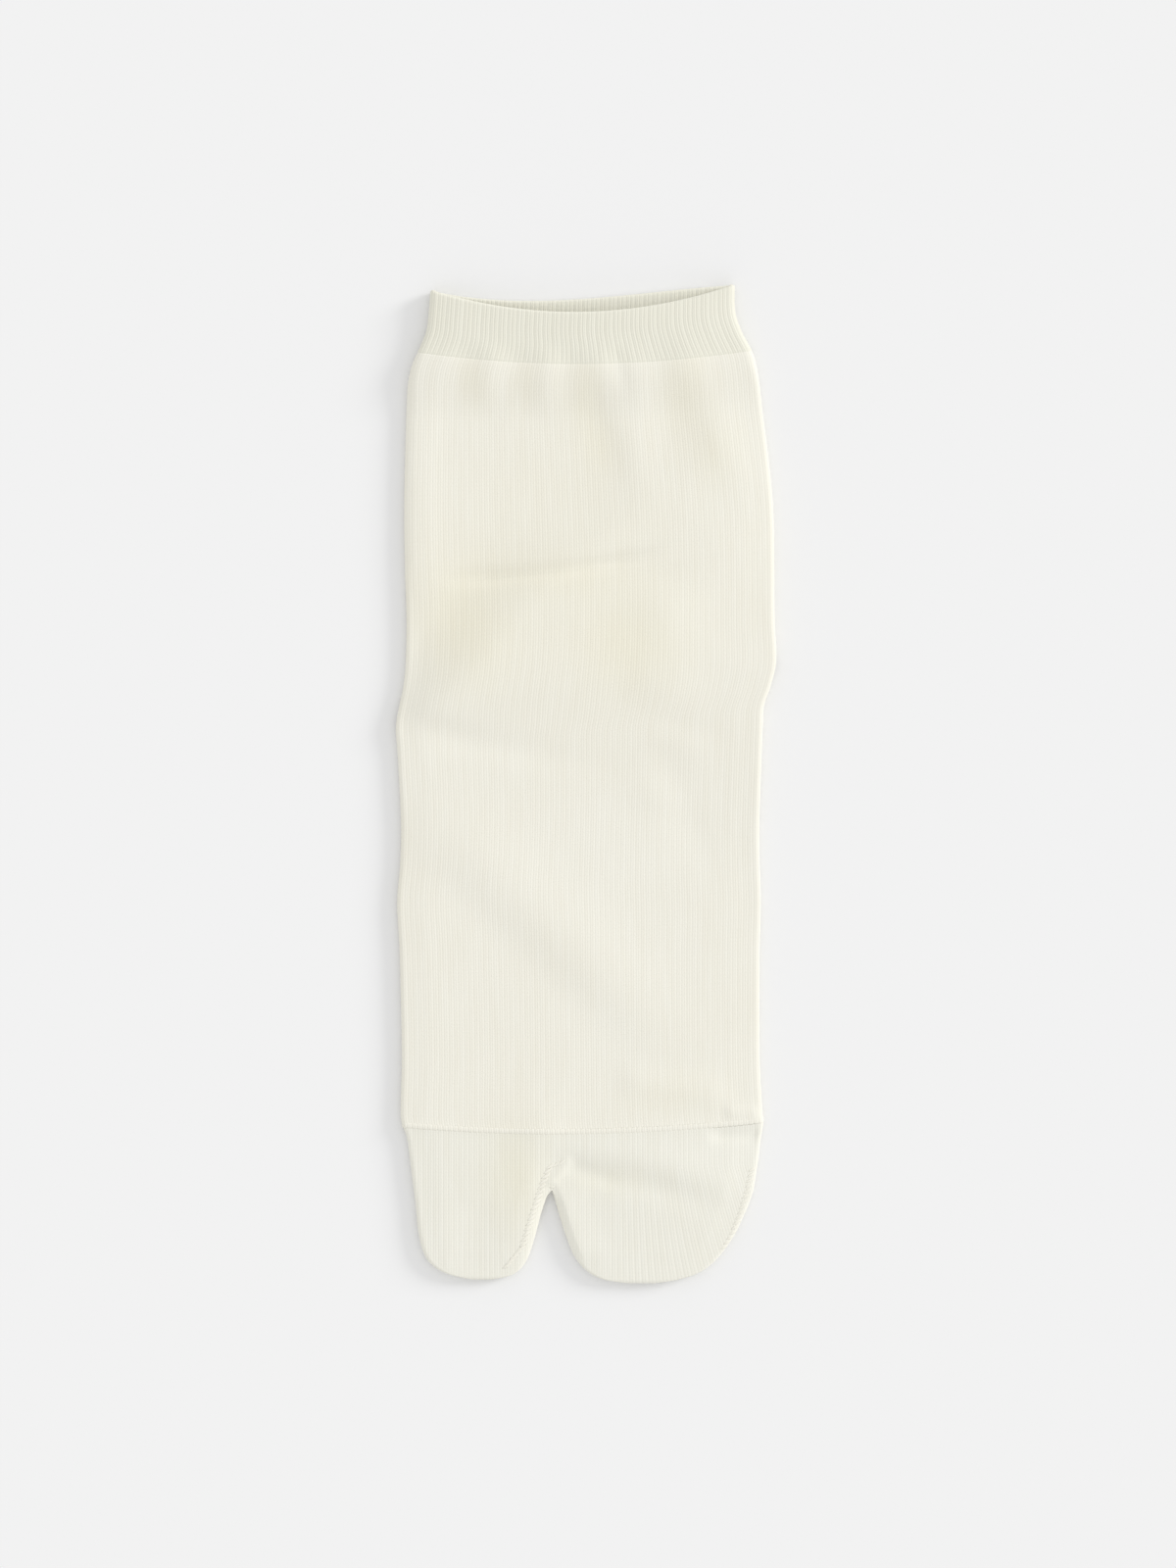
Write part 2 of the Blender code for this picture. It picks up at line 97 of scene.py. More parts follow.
# The side edges of the cuff, leg and foot, seen from above.
Edge = namedtuple("Edge", "y left right")
TUBE_EDGES = (
    Edge(127.5, -39.6, 37.9),
    Edge(120.0, -40.1, 38.1),
    Edge(115.0, -40.8, 39.8),
    Edge(110.0, -42.9, 42.4),
    Edge(106.5, -44.4, 43.4),
    Edge(102.0, -45.4, 44.2),
    Edge(95.0, -45.8, 45.0),
    Edge(85.0, -46.1, 46.3),
    Edge(70.0, -46.4, 47.7),
    Edge(55.0, -46.2, 48.0),
    Edge(42.0, -45.8, 48.1),
    Edge(31.0, -46.0, 48.5),
    Edge(25.0, -46.6, 47.2),
    Edge(20.0, -47.7, 45.4),
    Edge(15.0, -48.5, 45.1),
    Edge(8.0, -48.1, 44.8),
    Edge(-10.0, -47.2, 44.2),
    Edge(-20.0, -47.4, 44.3),
    Edge(-30.0, -48.2, 44.6),
    Edge(-42.0, -47.6, 44.3),
    Edge(-70.0, -47.0, 44.3),
    Edge(-82.0, -47.3, 44.9),
    Edge(-86.0, -47.1, 45.2),
    Edge(-90.0, -45.7, 44.6),
    Edge(-95.0, -45.0, 44.0),
    Edge(-103.5, -43.9, 42.7),
)

# The crotch of the toe, the margin by which a place at it still counts as above it, and the two
# pockets below it.
CROTCH_X = -8.7
CROTCH_Y = -103.5
CROTCH_MARGIN = 0.01
BIG_TOE = (
    Edge(-103.5, -43.9, CROTCH_X),
    Edge(-105.0, -43.7, -9.9),
    Edge(-107.5, -43.4, -10.8),
    Edge(-110.0, -43.2, -11.6),
    Edge(-115.0, -42.6, -12.9),
    Edge(-120.0, -41.2, -14.5),
    Edge(-122.5, -39.3, -15.8),
    Edge(-124.5, -36.2, -17.8),
    Edge(-125.5, -33.0, -20.0),
    Edge(-126.3, -29.0, -24.0),
)
OTHER_TOES = (
    Edge(-103.5, CROTCH_X, 42.7),
    Edge(-105.0, -8.2, 42.2),
    Edge(-107.5, -7.5, 41.3),
    Edge(-110.0, -6.8, 40.2),
    Edge(-115.0, -5.2, 37.8),
    Edge(-120.0, -3.2, 34.3),
    Edge(-123.0, -1.0, 31.2),
    Edge(-125.0, 1.5, 27.8),
    Edge(-126.4, 5.0, 23.0),
    Edge(-127.25, 10.5, 17.5),
)

# The rims and seams that cross the sock: the height at the side edges, how much higher the right
# edge is than the middle, and how far the front and the back panel sag below it in the middle.
Crossing = namedtuple("Crossing", "y skew front_sag back_sag")
MOUTH = Crossing(126.5, 0.7, 6.4, 3.3)
CUFF_SEAM = Crossing(109.75, 0.25, 3.2, 1.2)
TOE_SEAM = Crossing(-86.2, 0.6, 2.3, 0.0)
CROSSINGS = (
    MOUTH,
    CUFF_SEAM,
    Crossing(66.0, 3.0, 0.0, 0.0),
    Crossing(36.0, 7.0, 0.0, 0.0),
    Crossing(10.0, 7.0, 0.0, 0.0),
    Crossing(-20.0, 3.0, 0.0, 0.0),
    TOE_SEAM,
    Crossing(CROTCH_Y, 0.0, 0.0, 0.0),
)

# The back panel's sag is the first share of the table's in the middle. It leans: at the right side
# it is less by the second share, and at the left side more.
BACK_SAG_MIDDLE = 0.85
BACK_SAG_LEAN = 0.6

# The heel pocket, folded flat towards the cuff. Its hinge and its far edge cross the middle of the
# sock at these heights with one slope, and each slanting side runs through two points. Its root is
# below the hinge, and the back panel over it leaves a clearance.
HEEL_THICK = 2.0
HEEL_CLEARANCE = 0.4
HEEL_SLOPE = 0.145
HEEL_HINGE = 22.5
HEEL_FAR = 51.6
HEEL_SIDES = (((-47.5, 15.0), (-16.5, 49.0)), ((12.0, 53.5), (47.5, 29.5)))
HEEL_ROUNDING = 2.5
HEEL_ROOT = 6.0
HEEL_HALF_WIDTH = 46.6

# The heel pocket's mesh: points across, rings up to the far edge, the angles of the rings round
# that edge and where its sides are read last, then how far it stays below the back panel, with the
# least half thickness and height that this leaves, and last how many halvings find its sides.
HEEL_COLUMNS = 230
HEEL_ROWS = 56
HEEL_END_ANGLES = (15, 30, 45, 60, 72, 82)
HEEL_LAST_SIDES = HEEL_FAR - 0.2
HEEL_GAP = 0.24
HEEL_LEAST_HALF = 0.06
HEEL_LEAST_HEIGHT = 0.1
HALVINGS = 40

# How the panels drape over the heel pocket. The back panel comes down over a ramp at the pocket's
# outline. The front panel has its own outline, of two slanting sides and a slope to the instep that
# is steeper at the left. Above its crease it steps down a little, then fades and spreads.
UNDER_RAMP = (-4.0, 5.0)
DRAPE_HEIGHT = 3.0
DRAPE_SIDES = (((-43.5, 15.0), (-33.5, 38.0)), ((-34.5, 36.5), (-17.0, 54.5)))
OVER_RAMP = (-9.0, 9.0)
INSTEP_EASE = 0.6
INSTEP_TURN = 90
CREASE_STEP = 0.04
CREASE_RAMP = (-1.5, 0.5)
CREASE_FADE = 42.0
SPREAD_ABOVE = 0.06

# Where the front panel stands up with trapped air, and one place where it lies lower. Bulges are
# whole at this distance inland, and folds nearer to the edge.
BULGE_INLAND = 8.0
FOLD_INLAND = 2.5
Bulge = namedtuple("Bulge", "x y reach_x reach_y height")
BULGES = (
    Bulge(0, 122, 26, 10, 1.0),
    Bulge(0, 104, 30, 9, 0.5),
    Bulge(0, 76, 26, 22, -0.5),
    Bulge(2, 8, 30, 13, 0.3),
    Bulge(22, -100, 20, 14, 0.8),
)

# Where the cotton is painted darker and yellower: painted shade in the dips and around the heel, and
# over the leg one broad patch of the cotton's own tone. The tint, and its patches, each with its
# share of the tint as its height.
SHADE_AND_TONE_TINT = (0.99, 0.973, 0.9)
SHADE_AND_TONE_PATCHES = (
    Bulge(-6, 54, 34, 32, 0.3),
    Bulge(-31, 40, 12, 15, 0.7),
    Bulge(12, 35, 13, 13, 0.6),
    Bulge(-8, 53, 22, 5, 0.3),
    Bulge(-29, 103, 4, 8, 0.4),
    Bulge(-15, 103, 4, 8, 0.3),
    Bulge(0, 100, 5, 11, 0.5),
    Bulge(4, 86, 5, 8, 0.4),
    Bulge(25, 100, 6, 12, 0.5),
    Bulge(33, 84, 6, 9, 0.4),
    Bulge(-18, -100, 7, 13, 0.7),
    Bulge(6, -101, 13, 4, 0.3),
    Bulge(20, -80, 13, 6, 0.3),
)

# Ridges (positive) and troughs of the front panel, and of the back panel that faces the floor.
# Each runs from its first point to its last, bowed to its left. It comes in over the start's range,
# and fades from its own share to the end. These are shares of its length.
Fold = namedtuple("Fold", "x0 y0 x1 y1 bow width height fades_from", defaults=(0.55,))
FOLD_START = (-0.2, 0.15)
FOLD_END = 1.2
GATHERS = (
    Fold(-23.5, 110.5, -26.7, 95.5, 0.0, 3.4, 0.36),
    Fold(-30.0, 111.0, -34.0, 96.0, 0.0, 3.0, -0.15),
    Fold(-9.8, 110.0, -11.0, 94.0, 0.0, 3.3, 0.3),
    Fold(-17.2, 110.0, -18.5, 97.0, 0.0, 2.8, -0.15),
    Fold(2.8, 110.0, 9.8, 83.0, 0.0, 4.3, 0.47),
    Fold(-5.0, 110.0, -4.0, 92.0, 0.0, 2.8, -0.15),
    Fold(7.5, 110.0, 10.0, 100.0, 0.0, 2.0, -0.2),
    Fold(12.5, 108.0, 13.0, 72.0, 0.0, 5.5, 0.6),
    Fold(24.0, 111.5, 40.0, 74.0, 0.0, 6.0, 0.65),
)
BACK_GATHERS = (
    Fold(-33.0, 108.0, -31.0, 94.0, 0.0, 3.0, 0.4),
    Fold(-18.0, 108.0, -21.0, 88.0, 0.0, 3.4, 0.5),
    Fold(-3.0, 108.0, -2.0, 96.0, 0.0, 3.0, 0.4),
    Fold(11.0, 108.0, 15.0, 84.0, 0.0, 3.6, 0.5),
    Fold(27.0, 108.0, 25.0, 95.0, 0.0, 3.0, 0.4),
)
HEEL_CREASE = Fold(-31.0, 52.2, 13.0, 57.8, -1.0, 1.7, -0.9, 0.85)
CREASES = (
    HEEL_CREASE,
    Fold(-43.0, 104.0, -43.0, 50.0, 0.0, 5.0, 0.4, 0.8),
    Fold(21.0, 48.0, 20.0, 20.0, 0.0, 9.0, 0.55, 0.8),
    Fold(24.0, 12.0, 19.0, -6.0, 0.0, 9.0, 0.45, 0.8),
    Fold(-49.0, 17.5, 10.0, 4.0, -2.0, 3.5, -0.35),
    Fold(-51.0, 15.5, -28.0, 10.0, 0.0, 4.0, -0.2, 0.8),
    Fold(-36.0, -12.0, 25.0, -68.0, 0.0, 10.5, 0.8),
    Fold(-38.0, -24.0, 14.0, -69.0, 0.0, 6.0, -0.35),
    Fold(20.0, 8.0, 31.0, -22.0, 0.0, 5.0, -0.35),
    Fold(10.0, -75.5, 34.0, -79.0, 0.0, 4.2, 0.5, 0.9),
    Fold(36.0, -83.5, 45.0, -83.8, 0.0, 2.0, 0.4, 0.8),
    Fold(33.0, -89.7, 45.5, -89.3, 0.0, 1.7, -0.6, 0.8),
    Fold(-3.0, -94.0, 36.0, -101.5, 1.0, 5.0, 0.45, 0.6),
    Fold(-9.0, -97.0, 35.0, -108.0, 1.0, 3.8, -0.6, 0.6),
    Fold(-9.5, -102.5, -4.5, -96.0, 0.0, 1.4, 0.35, 0.9),
    Fold(-4.0, -97.5, 9.0, -102.0, 0.0, 2.0, -0.3, 0.6),
    Fold(-6.5, -105.0, -1.0, -121.0, 0.0, 4.0, 0.55, 0.8),
    Fold(-10.5, -84.0, -14.5, -121.0, -1.0, 7.0, 0.6, 0.8),
    Fold(-28.0, -108.0, -31.0, -123.0, 0.0, 5.0, -0.2, 0.8),
)

# The front panel rolls up a little along its right side: how much, how far inland, how widely, and
# across which part of the sock the roll begins.
EDGE_ROLL = 0.2
EDGE_ROLL_INLAND = 1.5
EDGE_ROLL_REACH = 3.0
EDGE_ROLL_BEGINS = (0.0, 25.0)

# The linked seam round the top of the toe: the low ridge that it makes in the knit, how that comes
# in at the side edges, and how near to it the wales flatten. Then its row of loops: their half
# width, their height and how far they are sunk, the points along and round each, and how much
# plumper it is in its middle.
SEAM_RIDGE = 0.15
SEAM_RIDGE_WIDTH = 1.2
SEAM_INLAND = (-1.0, 1.5)
SEAM_PLAIN = 1.2
Loop = namedtuple("Loop", "wide high sunk")
SEAM_LOOP = Loop(0.8, 0.19, 0.1)
LOOP_POINTS = 6
LOOP_SIDES = 8
LOOP_PLUMP = 0.08
LOOP_OFF_FLOOR = 0.03

# How near two vertices are that become one, in metres: where skins meet, and where a ring closes.
SKINS_MEET = 1e-6
SAME_PLACE = 1e-9

# The wales over the other toes lean out towards the little toe: how much for each mm below a
# height, as far as a most, and across which part of the sock the lean begins.
TOE_LEAN = 0.3
TOE_LEAN_BELOW = -97.0
TOE_LEAN_MOST = 40.0
TOE_LEAN_BEGINS = (5.0, 45.0)

# Rows of short stitches on the front of the toe: the line of their middles, the distance between
# them, which way they point, in degrees up from the sock's right, and their length and radius. Each
# is a tapered yarn, lower than it is wide, of a few rings.
Stitching = namedtuple("Stitching", "path pitch angle length radius")
GORE_PATH = (
    (-5.8, -96.3),
    (-9.3, -97.4),
    (-11.0, -101.5),
    (-12.5, -106.3),
    (-14.5, -112.5),
    (-16.0, -117.5),
    (-20.6, -123.2),
)
LITTLE_TOE_PATH = ((42.4, -97.5), (41.2, -103.0), (39.4, -109.0), (37.0, -115.0), (33.0, -121.5))
STITCHING = (
    Stitching(GORE_PATH, 1.4, 32.0, 2.9, 0.4),
    Stitching(LITTLE_TOE_PATH, 1.4, 30.0, 2.4, 0.34),
    Stitching(((-9.2, -102.6), (-8.0, -102.6)), 1.2, 0.0, 1.4, 0.3),
)
STITCH_FLATNESS = 0.32
STITCH_REACH = 0.97
STITCH_RINGS = 7
STITCH_SIDES = 8

# How the pieces meet. The tube runs up a little way under the cuff, whose hem sinks into it, and
# each comes to its depth over a ramp, counted from the seam. The ribs end a little above the hem.
TUCK = 0.9
TUCK_DEPTH = 0.16
TUCK_RAMP = (0.1, 0.7)
HEM_DEPTH = 0.2
HEM_RAMP = (-0.3, 0.6)
RIBS_RAMP = (-0.2, 1.5)

# The cuff's rounded rim at the mouth: its radius, and the rings round it with both ends.
MOUTH_ROUND = 0.75
MOUTH_RINGS = 8

# Mesh density: points for each wale and rib, how far each run of courses goes down the sock and the
# distance between its rings, the toe's step across, and the steps round a folded edge. A lining has
# fewer points and rings by these factors.
POINTS_PER_WALE = 4
POINTS_PER_RIB = 16
Run = namedtuple("Run", "end step")
TUBE_RUNS = (Run(92.0, 1.05), Run(60.0, 1.5), Run(10.0, 1.3), Run(-82.0, 1.6), Run(-86.2, 0.5))
CUFF_RUNS = (Run(124.5, 0.4), Run(111.5, 0.75), Run(109.4, 0.3))
TOE_RUNS = (Run(-90.0, 0.5), Run(-103.5, 0.75))
TOE_STEP = 0.22
ARC_STEPS = 16
INNER_SHARE = 4
INNER_ROW_SHARE = 3

# A toe pocket's rings: their number outside and inside, how they crowd towards the tip, over which
# share of its length the fold beside the crotch opens, how thin the tip ends, and how far above the
# crotch the last ring over both pockets is.
POCKET_ROWS = 60
INNER_POCKET_ROWS = 14
POCKET_CROWDING = 1.6
POCKET_OPENS = 0.12
TIP_LEAST = 0.0016
CROTCH_ROW = 0.2

# The photographed frame: its size on the plane of the sock, and the camera's height.
FRAME_HEIGHT = 400.0
FRAME_MIDDLE_X = 0.5
CAMERA_HEIGHT = 1500.0
SENSOR = 36.0
NEAREST = 0.01

# The floor's size in metres, and its colour.
FLOOR_SIZE = 6.0
FLOOR_GREY = (0.82, 0.82, 0.82, 1.0)

# The light: an even white tent, and a soft light with its strength, how wide it looks from the
# sock, its tilt from straight above and its turn from the sock's right, in degrees.
TENT_STRENGTH = 0.92
Light = namedtuple("Light", "name energy width tilt turn")
SIDE_LIGHT = Light("side_softbox", 1.57, 20.0, 71.0, 22.0)

# The cottons: a light and a dark colour. The stitches' backs take the light one and the grooves the
# dark one, which is painted light and shade; the yarn's unevenness and the clouds also move between
# the two.
Cotton = namedtuple("Cotton", "name light dark")
FINE_KNIT = Cotton("cotton_knit_fine", (0.808, 0.791, 0.709), (0.752, 0.723, 0.622))
# The toe's cotton is a slightly darker and cooler copy of the leg's: the darker part is painted
# shade over the toe, the cooler part its own tone.
TOE_KNIT_TONE_AND_SHADE = Cotton("cotton_knit_toe_tone_and_shade", (0.795, 0.784, 0.708), (0.739, 0.717, 0.621))
FINE_RIB = Cotton("cotton_rib_fine", (0.759, 0.748, 0.653), (0.703, 0.683, 0.577))

# The knit in the material. A stitch's two legs lean by a share of a course, its loop shows by a
# share of its height, and a low power makes its legs full. The fuzz and the clouds of colour are
# noise in space, by the metre, and the yarn's is noise in the knit, drawn out along a wale. The
# colour goes from dark to light over a range of the sum of stitch, yarn and clouds. The stitch's
# part of it is painted shade in the grooves and painted light on the stitches' backs.
STITCH_LEAN = 0.45
STITCH_LOOP = 0.13
STITCH_POWER = 0.6
Noise = namedtuple("Noise", "scale detail share")
FUZZ = Noise(2600.0, 3.0, 0.35)
YARN = Noise(0.9, 2.0, 0.45)
CLOUD = Noise(28.0, 2.0, 0.35)
YARN_ALONG_WALE = 0.07
STITCH_LIGHT_AND_SHADE_SHARE = 0.16
COLOUR_RANGE = (0.085, 0.635)
BUMP_STRENGTH = 0.5
BUMP_DISTANCE = 0.00009


# ---- The form of the sock, as functions of arrays of points ----


def blend(low, high, value):
    """0 below low, 1 above high and a smooth step between."""
    t = np.clip((value - low) / (high - low), 0.0, 1.0)
    return t * t * (3 - 2 * t)


def ramp_at(place, ramp, value):
    """0 below the ramp and 1 above it, the ramp's two ends being counted from the place."""
    return blend(place + ramp[0], place + ramp[1], value)


def read(table, y, column):
    """The table's column at y, on a smooth curve through the rows, which run down in y."""
    ys = np.array([row.y for row in table][::-1])
    values = np.array([getattr(row, column) for row in table][::-1])
    slopes = np.empty(len(ys))
    slopes[1:-1] = (values[2:] - values[:-2]) / (ys[2:] - ys[:-2])
    slopes[0] = (values[1] - values[0]) / (ys[1] - ys[0])
    slopes[-1] = (values[-1] - values[-2]) / (ys[-1] - ys[-2])
    y = np.clip(np.asarray(y, float), ys[0], ys[-1])
    k = np.clip(np.searchsorted(ys, y, side="right") - 1, 0, len(ys) - 2)
    step = ys[k + 1] - ys[k]
    t = (y - ys[k]) / step
    return (
        values[k] * (2 * t**3 - 3 * t**2 + 1)
        + slopes[k] * step * (t**3 - 2 * t**2 + t)
        + values[k + 1] * (3 * t**2 - 2 * t**3)
        + slopes[k + 1] * step * (t**3 - t**2)
    )


def fold_height(fold, x, y):
    """What one fold adds at (x, y)."""
    run_x, run_y = fold.x1 - fold.x0, fold.y1 - fold.y0
    length = math.hypot(run_x, run_y)
    t = ((x - fold.x0) * run_x + (y - fold.y0) * run_y) / length**2
    aside = ((x - fold.x0) * run_y - (y - fold.y0) * run_x) / length
    aside = aside + 4 * t * (1 - t) * fold.bow
    ends = blend(*FOLD_START, t) * (1 - blend(fold.fades_from, FOLD_END, t))
    return fold.height * ends * np.exp(-((aside / fold.width) ** 2))


def bulge_height(bulges, x, y):
    """What all those bulges add at (x, y)."""
    return sum(
        b.height * np.exp(-(((x - b.x) / b.reach_x) ** 2) - ((y - b.y) / b.reach_y) ** 2)
        for b in bulges
    )


def beyond_line(line, x, y):
    """How far (x, y) lies to the left of the line from its first point to its second."""
    (x0, y0), (x1, y1) = line
    length = math.hypot(x1 - x0, y1 - y0)
    return ((x - x0) * (y0 - y1) + (y - y0) * (x1 - x0)) / length


def beyond_sides(x, y):
    """How far (x, y) lies beyond the heel pocket's far edge and beyond each slanting side."""
    return [y - HEEL_SLOPE * x - HEEL_FAR] + [beyond_line(side, x, y) for side in HEEL_SIDES]


def rounded(distances):
    """The greatest of the distances, with rounded corners between them."""
    total = sum(np.exp(np.minimum(d, FAR) / HEEL_ROUNDING) for d in distances)
    return np.log(total) * HEEL_ROUNDING


def outside_heel(x, y):
    """How far (x, y) lies outside the folded heel pocket, negative inside it."""
    return rounded([HEEL_HINGE + HEEL_SLOPE * x - y] + beyond_sides(x, y))


def lift_under(x, y):
    """How far the back panel is held up by the heel pocket under it."""
    return (HEEL_THICK + HEEL_CLEARANCE) * (1 - blend(*UNDER_RAMP, outside_heel(x, y)))


def above_crease(x, y):
    """How far (x, y) lies above the crease that the front panel has over the heel's far edge."""
    crease = HEEL_CREASE
    share = (x - crease.x0) / (crease.x1 - crease.x0)
    within = np.clip(share, 0.0, 1.0)
    line = crease.y0 + share * (crease.y1 - crease.y0)
    return y - line - 4 * within * (1 - within) * crease.bow


def lift_over(x, y):
    """How far the front panel is held up by the heel pocket. Over the pocket's far edge it creases,
    steps down a little and then comes down slowly towards the cuff."""
    above = above_crease(x, y)
    instep = (HEEL_HINGE + HEEL_SLOPE * x - y) * (INSTEP_EASE - x / INSTEP_TURN)
    distances = [instep] + [beyond_line(side, x, y) for side in DRAPE_SIDES]
    spread = SPREAD_ABOVE * np.maximum(above, 0.0)
    sides = rounded(distances) / (1 + spread)
    step = 1 - CREASE_STEP * blend(*CREASE_RAMP, above)
    slow = 1 - blend(0.0, CREASE_FADE, above)
    return DRAPE_HEIGHT * (1 - blend(*OVER_RAMP, sides)) * step * slow


def course_shift(x, y, top):
    """How far the course at y bends away from it at x. top is 1 on the front and 0 on the back."""
    skew, front_sag, back_sag = (
        read(CROSSINGS, y, column) for column in ("skew", "front_sag", "back_sag")
    )
    left, right = read(TUBE_EDGES, y, "left"), read(TUBE_EDGES, y, "right")
    across = (2 * x - left - right) / (right - left)
    back_sag = back_sag * (BACK_SAG_MIDDLE - BACK_SAG_LEAN * across)
    return skew * across - (front_sag * top + back_sag * (1 - top)) * (1 - across**2)


def seam_ridge(x, y):
    """The linked seam round the top of the toe stands up as a thin ridge."""
    aside = y - TOE_SEAM.y - course_shift(x, TOE_SEAM.y, 1.0)
    return SEAM_RIDGE * np.exp(-((aside / SEAM_RIDGE_WIDTH) ** 2))


def front_relief(x, y, inland):
    """How far the front panel stands above a plain flattened tube, inland being the distance from
    the nearest edge."""
    folds = sum(fold_height(fold, x, y) for fold in GATHERS + CREASES)
    roll = EDGE_ROLL * np.exp(-(((inland - EDGE_ROLL_INLAND) / EDGE_ROLL_REACH) ** 2))
    return (
        EDGE_RISE * blend(0.0, EDGE_RISE_INLAND, inland)
        + roll * blend(*EDGE_ROLL_BEGINS, x)
        + blend(0.0, BULGE_INLAND, inland) * bulge_height(BULGES, x, y)
        + blend(0.0, FOLD_INLAND, inland) * folds
        + blend(*SEAM_INLAND, inland) * seam_ridge(x, y)
    )


def back_relief(x, y, inland):
    """How far the back panel rises off the floor in its own gathers."""
    return blend(0.0, FOLD_INLAND, inland) * sum(fold_height(fold, x, y) for fold in BACK_GATHERS)


def half_at(y):
    """Half of the folded thickness, which grows towards the cuff."""
    return FOOT_HALF + (CUFF_HALF - FOOT_HALF) * blend(*CUFF_THICKENS, y)


def softly_above(height, floor):
    """The height, eased so that it stays above the floor without a crease where the two meet."""
    return (height + floor + np.hypot(height - floor, EASED_LIFT)) / 2


# A grid of points on a folded tube before it is settled, one row for each ring: their place, their
# rise over the section's middle, its normal there, its half thickness, and how far inland they are.
Grid = namedtuple("Grid", "x rise across up y half inland")


def settle(grid, raised, lining=False):
    """The grid's points on the sock, raised off it along the section's normal. The front panel
    stays over the back panel, and its lining clear of the back panel's."""
    y = np.broadcast_to(grid.y, grid.x.shape)
    half = np.broadcast_to(grid.half, grid.x.shape)
    top = np.clip(0.5 + 0.5 * grid.rise / half, 0.0, 1.0)
    middle = half_at(y)
    y = y + course_shift(grid.x, y, top)
    over = lift_over(grid.x, y) + front_relief(grid.x, y, grid.inland)
    under = lift_under(grid.x, y) + back_relief(grid.x, y, grid.inland)
    least = LEAST_HOLLOW if lining else LEAST_THICKNESS * np.minimum(1.0, half / FOOT_HALF)
    over = softly_above(over, under - 2 * half + least)
    z = middle + grid.rise + top * over + (1 - top) * under
    return np.stack([grid.x + raised * grid.across, y, z + raised * grid.up], axis=-1)


def tube_sides(y):
    """The side edges of the course at y, which is skewed."""
    skew = read(CROSSINGS, y, "skew")
    return read(TUBE_EDGES, y - skew, "left"), read(TUBE_EDGES, y + skew, "right")


def squared(up):
    """The rise round a folded edge, which is squarer than a half circle."""
    return np.sign(up) * np.abs(up) ** EDGE_SQUARENESS


def even_grid(ys, points, wall=0.0):
    """Rings with evenly spaced points, from the middle of the left fold over the front. A lining
    lies inside by its wall."""
    y = np.asarray(ys, float)[:, None]
    left, right = tube_sides(y)
    half = half_at(y) - wall
    left, right = left + wall, right - wall
    flat, bend = right - left - 2 * half, math.pi * half
    length = 2 * (flat + bend)
    along = np.arange(points)[None, :] / points * length - bend / 2
    turn_right = math.pi / 2 - (along - flat) / half
    turn_left = math.pi / 2 - np.where(along < 0, along, along - length) / half
    back = flat + bend
    choices = [
        (along >= 0) & (along < flat),
        (along >= flat) & (along < back),
        (along >= back) & (along < 2 * flat + bend),
    ]
    on_front = left + half + along
    on_right = right - half + half * np.cos(turn_right)
    on_back = right - half - (along - back)
    on_left = left + half + half * np.cos(turn_left)
    x = np.select(choices, [on_front, on_right, on_back], on_left)
    up = np.select(choices, [1.0, np.sin(turn_right), -1.0], np.sin(turn_left))
    across = np.select(choices, [0.0, np.cos(turn_right), 0.0], np.cos(turn_left))
    inland = np.minimum(x - left + wall, right + wall - x)
    return Grid(x, half * squared(up), across, up, y, half, inland)


def row_heights(start, runs):
    """The rings' heights, from start down through each run."""
    ys = [start]
    for run in runs:
        count = max(1, round((ys[-1] - run.end) / run.step))
        ys += list(np.linspace(ys[-1], run.end, count + 1)[1:])
    return ys


# ---- Meshes ----


